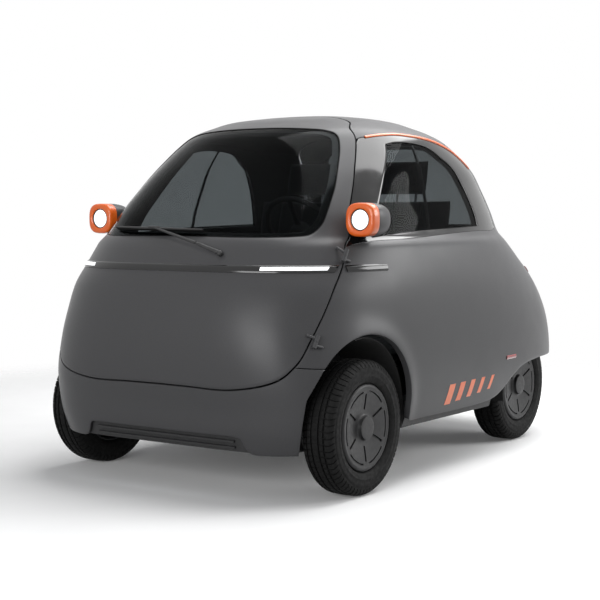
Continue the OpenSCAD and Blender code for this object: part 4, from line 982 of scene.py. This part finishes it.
mirror_profile = [(0, 150.4), (46.6, 150.4), (48, 151.2), (48, 153.2), (47.2, 154), (0, 154)]
mirrors = mesh_object("mirror_plates", both_sides([placed(turned(mirror_profile, 72), POD, TO_REAR)]),
                      mirror_coat, "body")
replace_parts(mirrors, "mirror_glass")
print("pods:", len(shells.data.polygons), "faces")

# %% [markdown]
# ## Wiper
# The wiper's arm grows from a thick cap on its spindle and thins towards the blade. The blade's carrier
# holds a rubber lip that rests on the glass.

# %% Wiper
def bar(a, b, ra, rb, sides=16, squash=(1.0, 1.0), n=18):
    """A bar between two points whose radius goes from ra to rb, with round ends: the root of 1 - (1 - t) squared."""
    a, b = np.asarray(a, float), np.asarray(b, float)
    t = (1 - np.cos(np.linspace(0, np.pi, n))) / 2
    length = np.linalg.norm(b - a)
    into = np.minimum(np.minimum(t * length / ra, (1 - t) * length / rb), 1)
    radius = (ra + (rb - ra) * t) * np.sqrt(np.maximum(1 - (1 - into) ** 2, 0.0025))
    return outward(*as_lists(tube(a + (b - a) * t[:, None], radius, sides, closed=False, squash=squash)))


def as_lists(part):
    return part[0], np_list(part[1])


pivot = from_front([243.0, 937.0])
pivot_normal = normal(pivot)
blade_x = np.linspace(-392, 117, 33)
blade = cast(from_front(np.column_stack([blade_x, 1031 - 8 * (blade_x + 392) / 509])))
up = normal(blade)
middle = blade[16] + 21 * up[16]
knee = pivot + 20 * pivot_normal + 0.30 * (middle - pivot) + np.array([0.0, -12.0, 4.0])
parts = [bar(pivot + 0.5 * pivot_normal, pivot + 25 * pivot_normal, 13, 11), bar(pivot + 18 * pivot_normal, knee, 9.5, 6.5),
         bar(knee, middle, 6.5, 4.2), bar(middle - 30 * unit(blade[17] - blade[15]), middle + 30 * unit(blade[17] - blade[15]), 5, 5)]
parts.append(outward(*as_lists(tube(blade + 15 * up, 2.0 + 2.6 * np.sqrt(np.clip(1 - np.linspace(-1, 1, 33) ** 2, 0.01, 1)), 12,
                                    closed=False))))
wiper = mesh_object("wiper_arm_and_blade", parts, trim, "door")
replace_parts(wiper, "wiper")
lip = outward(*as_lists(tube(blade + 6.0 * up, 7.6, 12, closed=False, squash=(1.0, 0.22))))
side_way = np.cross(up[16], unit(blade[17] - blade[15]))
rows = np.stack([blade + k * up + w * side_way for k, w in ((12.5, -1.6), (12.5, 1.6), (2.0, 1.4), (-2.4, 0.5), (-2.4, -0.5),
                                                         (2.0, -1.4))])
ids = np.arange(6 * 33).reshape(6, 33)
ids = np.concatenate([ids, ids[:1]])
faces = np.stack([ids[:-1, :-1], ids[:-1, 1:], ids[1:, 1:], ids[1:, :-1]], -1).reshape(-1, 4).tolist()
faces += [ids[:-1, 0].tolist()[::1], ids[:-1, -1].tolist()[::-1]]
mesh_object("wiper_rubber", [outward(rows.reshape(-1, 3), faces)], rubber, "door")
print("wiper:", len(wiper.data.polygons), "faces")

# %% [markdown]
# ## Steering wheel
# The rim is a ring whose grip bulges at ten and two. Three spokes dish towards the hub's pad.

# %% Steering wheel
WHEEL_AT = np.array([275.0, -650.0, 1025.0])
tilt = math.atan2(-240.0, 185.0)
COLUMN = np.array([[1, 0, 0], [0, math.cos(tilt), -math.sin(tilt)], [0, math.sin(tilt), math.cos(tilt)]])
a = np.linspace(0, 2 * np.pi, 96, endpoint=False)
grip = 11.6 + 1.3 * np.exp(-((np.abs((a - np.pi / 2 + np.pi) % (2 * np.pi) - np.pi) - 0.9) / 0.3) ** 2)
rim_path = np.column_stack([165 * np.cos(a), 165 * np.sin(a), np.zeros(96)])
rim_ring = outward(*as_lists(tube(rim_path, grip, 20)))
parts = [rim_ring, turned([(0, -36), (36, -36), (42, -32), (44, -20), (44, 2), (41, 9), (34, 12), (16, 13.4), (0, 13.8)], 64)]
for angle in np.radians([-90, 30, 150]):
    way = np.array([math.cos(angle), math.sin(angle), 0])
    parts.append(bar(30 * way + [0, 0, -12], 163 * way + [0, 0, -1], 13, 9, sides=16, squash=(1.25, 0.55)))
steering = mesh_object("steering_wheel_trim", [placed(p, WHEEL_AT, COLUMN) for p in parts], trim, "steering_wheel")
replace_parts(steering, "steering_wheel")
print("steering wheel:", len(steering.data.polygons), "faces")

# %% [markdown]
# ## Wheels
# A tyre's section is drawn once as half of a closed line and swept round the axle. Its tread pattern repeats
# 66 times. In each pitch six rows of points stand at the lip and the floor of a cross groove, so that the
# grooves get steep walls without a fine mesh. The grooves sink along the section's own normal.

# %% Tyres
TYRE_HALF, TYRE_R, RIM_R = 72.5, 266.5, 172.0
HALF_SECTION = np.array([
    [172.2, 48.0, 0], [172.4, 52.0, 0], [174.5, 57.5, 0], [179, 62.6, 0], [186, 66.6, 0], [194, 69.6, 0], [197, 70.4, 0],
    [198, 71.2, 0], [203, 71.6, 0], [204, 71.2, 0], [213, 72.2, 0], [224, 72.4, 0], [228, 72.0, 0], [229, 71.0, 0],
    [236, 70.8, 0.0], [240, 70.2, 0.5], [244, 69.0, 0.9], [249, 66.6, 1], [254, 63.0, 1], [258.4, 58.4, 1], [261.8, 53.0, 1],
    [263.8, 48.0, 1], [264.8, 43.4, 1], [264.6, 42.6, 1], [258.6, 41.4, 0], [258.6, 35.4, 0], [265.2, 34.4, 0.9],
    [265.8, 28.0, 0.55], [266.0, 20.6, 0.5], [265.8, 20.0, 0.4], [259.4, 19.0, 0], [259.4, 12.6, 0], [266.0, 11.8, 0.3],
    [266.5, 6.0, 0.25]])
inner_wall = np.array([[171.0, 40.0, 0], [171.0, 12.0, 0]])
half = np.concatenate([inner_wall[::-1], HALF_SECTION])
section_line = np.concatenate([half * [1, -1, 1], half[::-1]])
tangent = np.roll(section_line[:, :2], -1, 0) - np.roll(section_line[:, :2], 1, 0)
inwards = unit(np.column_stack([tangent[:, 1], -tangent[:, 0]]))
inwards *= np.where((inwards * (np.array([215.0, 0.0]) - section_line[:, :2])).sum(-1, keepdims=True) > 0, 1, -1)
PITCHES = 66
within = np.array([0.0, 0.025, 0.17, 0.195, 0.45, 0.75])
sunk = np.array([0.0, 1.0, 1.0, 0.0, 0.0, 0.0])
turns = ((np.arange(PITCHES)[:, None] + within) / PITCHES * 2 * np.pi).ravel()
deep = np.tile(sunk, PITCHES)
drop = 5.0 * deep[:, None] * section_line[None, :, 2]
radius = section_line[None, :, 0] + drop * inwards[None, :, 0]
offset = section_line[None, :, 1] + drop * inwards[None, :, 1]
lean = turns[:, None] + 0.05 * np.abs(section_line[None, :, 1]) / TYRE_HALF * np.clip((section_line[None, :, 0] - 236) / 25, 0, 1)
ring_grid = np.stack([offset, radius * np.cos(lean), radius * np.sin(lean)], -1)
n, m = ring_grid.shape[:2]
ids = np.arange(n * m).reshape(n, m)
ids = np.concatenate([ids, ids[:, :1]], 1)
ids = np.concatenate([ids, ids[:1]])
faces = np.stack([ids[:-1, :-1], ids[:-1, 1:], ids[1:, 1:], ids[1:, :-1]], -1).reshape(-1, 4).tolist()
tyre_part = outward(ring_grid.reshape(-1, 3), faces)
MIRROR = np.diag([-1.0, 1.0, 1.0])
WHEELS = {"front_left": (656.5, FRONT_AXLE, 1), "front_right": (-656.5, FRONT_AXLE, -1),
          "rear_left": (543.5, REAR_AXLE, 1), "rear_right": (-543.5, REAR_AXLE, -1)}
for corner, (x, y, sign) in WHEELS.items():
    part = placed(tyre_part, (x, y, AXLE_Z), np.eye(3) if sign > 0 else MIRROR)
    tyre = mesh_object("tread_" + corner, [part], rubber, "wheel_" + corner)
    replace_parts(tyre, "tyre_" + corner)
print("a tyre:", len(tyre.data.polygons), "faces")

# %% [markdown]
# The wheel has a satin black cover with a raised hub disc. Six slits run out from the hub and an arc slit
# lies between each pair near the rim. The cover's grid puts columns at each slit's lips: at every radius the
# half angle of a slit is the arc sine of its half width over the radius.

# %% Wheel covers
radii = np.array([0, 12, 24, 36, 42, 45.5, 47, 48.5, 51, 56, 62, 66, 70, 71.2, 72.4, 76, 84, 94, 106, 118, 128, 131, 132.2, 133.4,
                  134.6, 137.5, 138.5, 139.4, 144.4, 145.3, 147.5, 150.5, 153.5, 157, 161, 165, 169, 171.6])
depth = np.interp(radii, [0, 24, 42, 45.5, 48.5, 51, 60, 70, 100, 134, 150, 154, 158, 163, 169, 171.6],
                  [3.2, 3.0, 3.6, 4.4, 16.0, 20.0, 21.5, 20.5, 15.5, 11.0, 9.6, 9.0, 7.6, 8.0, 12.0, 17.0])
half_slit = np.sqrt(np.maximum(5.2 ** 2 - np.maximum(radii - 128, 0) ** 2 * 0.5 - np.maximum(76 - radii, 0) ** 2 * 0.5, 1.0))
slit_angle = np.degrees(np.arcsin(np.minimum((half_slit) / np.maximum(radii, 20), 1)))
bevel = np.degrees(1.1 / np.maximum(radii, 20))
edge = 7.5
columns = np.stack([np.zeros_like(radii), slit_angle - bevel * 0.6, slit_angle, slit_angle + bevel,
                    np.full_like(radii, edge), np.full_like(radii, edge + 0.5), np.full_like(radii, edge + 1.0),
                    np.full_like(radii, 15.0), np.full_like(radii, 22.5)], -1)
columns = np.sort(columns, 1)
in_slit = ((radii > 71.5) & (radii < 133.0))[:, None] * np.array([1, 1, 0, 0, 0, 0, 0, 0, 0])[None, :]
in_arc = ((radii > 139.0) & (radii < 144.9))[:, None] * np.array([0, 0, 0, 0, 0, 0, 1, 1, 1])[None, :]
half_depth = depth[:, None] + 7.0 * np.maximum(in_slit, in_arc)
turn_half = np.concatenate([columns, 60 - columns[:, ::-1][:, :]], 1)
depth_sector = np.concatenate([half_depth, half_depth[:, ::-1]], 1)
angles = np.radians(np.concatenate([turn_half[:, :-1] + 60 * k for k in range(6)], 1))
depths = np.concatenate([depth_sector[:, :-1] for _ in range(6)], 1)
front = np.stack([TYRE_HALF - depths, radii[:, None] * np.sin(angles), radii[:, None] * np.cos(angles)], -1)
back_r = np.array([171.6, 166.0, 150.0, 120.0, 60.0, 30.0])
back = np.stack([np.full((6, angles.shape[1]), 1.0) * np.array([22, 30, 34, 38, 42, 44])[:, None] * -1 + TYRE_HALF,
                 back_r[:, None] * np.sin(angles[-1:]), back_r[:, None] * np.cos(angles[-1:])], -1)
sheet_grid = np.concatenate([front[1:], back])
count, width = sheet_grid.shape[:2]
ids = np.arange(count * width).reshape(count, width)
ids = np.concatenate([ids, ids[:, :1]], 1)
faces = np.stack([ids[:-1, :-1], ids[:-1, 1:], ids[1:, 1:], ids[1:, :-1]], -1).reshape(-1, 4).tolist()
points = np.vstack([sheet_grid.reshape(-1, 3), [[TYRE_HALF - depth[0], 0, 0], [TYRE_HALF - 44, 0, 0]]])
tip, tail_tip = len(points) - 2, len(points) - 1
faces += [[tip, int(b), int(c)] for b, c in zip(ids[0, 1:], ids[0, :-1])]
faces += [[tail_tip, int(b), int(c)] for b, c in zip(ids[-1, :-1], ids[-1, 1:])]
cover_part = outward(points, faces)
barrel = [(171.8, -50), (171.8, 47.5), (170.4, 49.6), (168.6, 49.6), (166.4, 47), (164.5, 20), (160, -20), (163, -46), (168, -50)]
barrel_part = placed(turned(barrel, 96, closed=True), (0, 0, 0), np.array([[0, 0, 1], [0, 1, 0], [-1, 0, 0]], float))
hub_part = placed(turned([(0, -14), (52, -14), (56, -8), (56, 20), (0, 20)], 48), (0, 0, 0),
                  np.array([[0, 0, 1], [0, 1, 0], [-1, 0, 0]], float))
for corner, (x, y, sign) in WHEELS.items():
    way = np.eye(3) if sign > 0 else MIRROR
    rim = mesh_object("wheel_cover_" + corner, [placed(cover_part, (x, y, AXLE_Z), way)], cover_plastic, "wheel_" + corner)
    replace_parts(rim, "rim_" + corner)
    mesh_object("wheel_barrel_" + corner, [placed(barrel_part, (x, y, AXLE_Z), way), placed(hub_part, (x, y, AXLE_Z), way)],
                coated, "wheel_" + corner)
print("a cover:", len(rim.data.polygons), "faces")

# %% [markdown]
# ## Bench
# Each cushion is a crowned closed form. Its height falls to the piped edge as the 0.3 power of one less the
# sixth powers of both shares, its sides draw in between the corners, and stitched channels press small
# valleys into the face.

# %% Cushions
def cushion(w, d, h, channels=(), n=72, m=40, power=6.0, back_flat=0.5, fill=0.3):
    """The two faces of a pad w by d by h, its (points, faces) and its cloth coordinates in millimetres."""
    u = np.linspace(-1, 1, 2 * n + 1)
    v = np.linspace(-1, 1, 2 * m + 1)
    u, v = np.sign(u) * (1 - (1 - np.abs(u)) ** 1.8), np.sign(v) * (1 - (1 - np.abs(v)) ** 1.8)
    uu, vv = np.meshgrid(u, v)
    crown = np.maximum((1 - np.abs(uu) ** power) * (1 - np.abs(vv) ** power), 0) ** fill
    pull_x = 1 - 0.010 * (1 - vv ** 2)
    pull_y = 1 - 0.014 * (1 - uu ** 2)
    x, y = uu * w / 2 * pull_x, vv * d / 2 * pull_y
    valley = sum(np.exp(-((x - c) / 5.0) ** 2) for c in channels) if channels else 0.0 * x
    wave = 1.2 * np.sin(x / 61.0) * np.sin(y / 47.0)
    top = h / 2 * (1 + crown) - (7.0 * valley + 1.5 + wave) * crown
    bottom = h / 2 * (1 - crown * (1 - 0.0 * back_flat))
    rows, cols = top.shape
    ids_top = np.arange(rows * cols).reshape(rows, cols)
    inner = np.zeros((rows, cols), bool)
    inner[1:-1, 1:-1] = True
    ids_bottom = ids_top.copy()
    ids_bottom[inner] = rows * cols + np.arange(inner.sum())
    points = np.vstack([np.stack([x, y, top], -1).reshape(-1, 3), np.stack([x, y, bottom], -1)[inner]])
    quads_of = lambda i: np.stack([i[:-1, :-1], i[:-1, 1:], i[1:, 1:], i[1:, :-1]], -1).reshape(-1, 4)
    faces = quads_of(ids_top).tolist() + quads_of(ids_bottom)[:, ::-1].tolist()
    rim = np.concatenate([ids_top[0, :-1], ids_top[:-1, -1], ids_top[-1, :0:-1], ids_top[:0:-1, 0]])
    return outward(points, faces), points[:, :2].copy(), points[rim]


lean_back = math.radians(-11.0)
RECLINE = np.array([[1, 0, 0], [0, math.cos(lean_back), -math.sin(lean_back)], [0, math.sin(lean_back), math.cos(lean_back)]])
UPRIGHT = RECLINE @ np.array([[1, 0, 0], [0, 0, -1], [0, 1, 0]], float)
channels = [-390, -260, -130, 0, 130, 260, 390]
SEAT_BACK_AT = np.array([0.0, 50.0, 561.0])
pads = {"bench_cushion": (cushion(1036, 476, 118, channels), (0, -120.0, 441.0), np.eye(3), "seat_base", 0.85),
        "bench_backrest": (cushion(1036, 594, 106, channels), SEAT_BACK_AT + RECLINE @ [0, 55, 300], UPRIGHT, "seat_back", 0.8)}
rests = []
for side in (1, -1):
    part, uv, edge_line = cushion(246, 150, 94, (), 30, 24, power=2.6, fill=0.42)
    spot = SEAT_BACK_AT + RECLINE @ [260 * side, 48, 634 + 75]
    rests.append((placed(part, spot, UPRIGHT), uv, placed((edge_line, []), spot, UPRIGHT)[0]))
print("pads:", len(pads) + len(rests))

# %% Seats on the frame
def pad(name, part, uv, node=None, fill=0.8):
    item = mesh_object(name, [part], cloth, "body", uvs=[uv])
    if node:
        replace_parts(item, node)
    return item


seams = []
for name, ((part, uv, edge_line), spot, turn, node, fill) in pads.items():
    made = pad(name, placed(part, spot, turn), uv, node, fill)
    seams.append(outward(*as_lists(tube(placed((edge_line, []), spot, turn)[0][::2], 2.6, 8))))
for name, (part, uv, edge_line) in zip(("restraint_left", "restraint_right"), rests):
    made = pad(name, part, uv, None, 0.9)
    seams.append(outward(*as_lists(tube(edge_line[::2], 2.0, 8))))
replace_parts(made, "head_restraints")
mesh_object("cushion_piping", seams, belt_web, "body")
posts = []
for side in (1, -1):
    for x in (-50, 50):
        a, b = (SEAT_BACK_AT + RECLINE @ [260 * side + x, 48, z] for z in (560.0, 650.0))
        posts.append(bar(a, b, 6, 6, 20))
mesh_object("restraint_posts", posts, plated, "body")
print("seats: 2 cushions, 2 restraints,", len(posts), "posts")

# %% [markdown]
# ## What stays as the solids made it
# Chassis parts, hinges and inner trim keep their solid form and take the finish of what they are made of.

# %% Finishes of the solids
STAY = {"floor_tub": trim, "battery": cast_metal, "drive_unit": cast_metal, "front_beam": coated, "rear_axle": coated,
        "seat_box": carpet, "wheel_liners": dark, "intake": trim, "steering_column": trim, "hinge_pins": paint,
        "door_shelf": trim, "door_hinges": paint, "hatch_hinges": paint, "knuckle_left": coated, "knuckle_right": coated}
for name, one in STAY.items():
    mesh = NODES[name].data
    mesh.materials.clear()
    mesh.materials.append(one)
left_over = [n for n, o in NODES.items() if not o.hide_render and n not in STAY]
print("solids kept:", len(STAY), "without a finish:", left_over)

# %% [markdown]
# ## Floor and finish
# The floor is an infinite studio cove: a matt white disc under the car that fades to nothing between 2.6 and
# 4.2 metres from the middle, where the white background takes over. It keeps the car's soft shadow. Light that
# it sends back onto the car is that of a mid grey floor, so the lower body stays dark, as in the photograph.

# %% Floor
a = np.linspace(0, 2 * np.pi, 96, endpoint=False)
disc = np.stack([4.3 * np.cos(a), 4.3 * np.sin(a), np.zeros(96)], -1)
floor_mesh = bpy.data.meshes.new("floor")
floor_mesh.from_pydata(disc.tolist(), [], [list(range(96))])
floor_mesh.update()
floor = bpy.data.objects.new("floor", floor_mesh)
bpy.context.scene.collection.objects.link(floor)
floor_paint, tree, shader = finish("white_studio_floor", Roughness=0.9)
vary(tree, shader, "Base Color", speckle(tree, 400.0), "#F6F6F6", "#F9F9F9")
shader.inputs["Emission Color"].default_value = (1.0, 1.0, 1.0, 1.0)
shader.inputs["Emission Strength"].default_value = 0.05
place = add(tree, "ShaderNodeTexCoord")
reach = add(tree, "ShaderNodeVectorMath", {"operation": "LENGTH"}, {0: place.outputs["Object"]})
fade = add(tree, "ShaderNodeMapRange", {"interpolation_type": "SMOOTHSTEP", "From Min": 2.6, "From Max": 4.2},
           {"Value": reach.outputs["Value"]})
gone = add(tree, "ShaderNodeBsdfTransparent", {"Color": (1.0, 1.0, 1.0, 1.0)})
grey = add(tree, "ShaderNodeBsdfDiffuse", {"Color": (0.16, 0.16, 0.16, 1.0)})
seen = add(tree, "ShaderNodeMixShader", None, {0: seen_directly(tree), 1: grey.outputs[0], 2: shader.outputs[0]})
both = add(tree, "ShaderNodeMixShader", None, {0: fade.outputs[0], 1: seen.outputs[0], 2: gone.outputs[0]})
output = next(n for n in tree.nodes if n.type == "OUTPUT_MATERIAL")
tree.links.new(both.outputs[0], output.inputs["Surface"])
floor_mesh.materials.append(floor_paint)
floor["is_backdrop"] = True
bpy.context.scene.view_settings.view_transform = "Standard"
print("the floor reaches 4.3 m")

# %% Size and finish
visual_low, visual_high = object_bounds()
sizes = {"cad": [list(cad_low), list(cad_high)], "visual": [list(visual_low), list(visual_high)]}
print("box of the solids:", [[round(v, 4) for v in p] for p in sizes["cad"]])
print("box of the scene:", [[round(v, 4) for v in p] for p in sizes["visual"]])
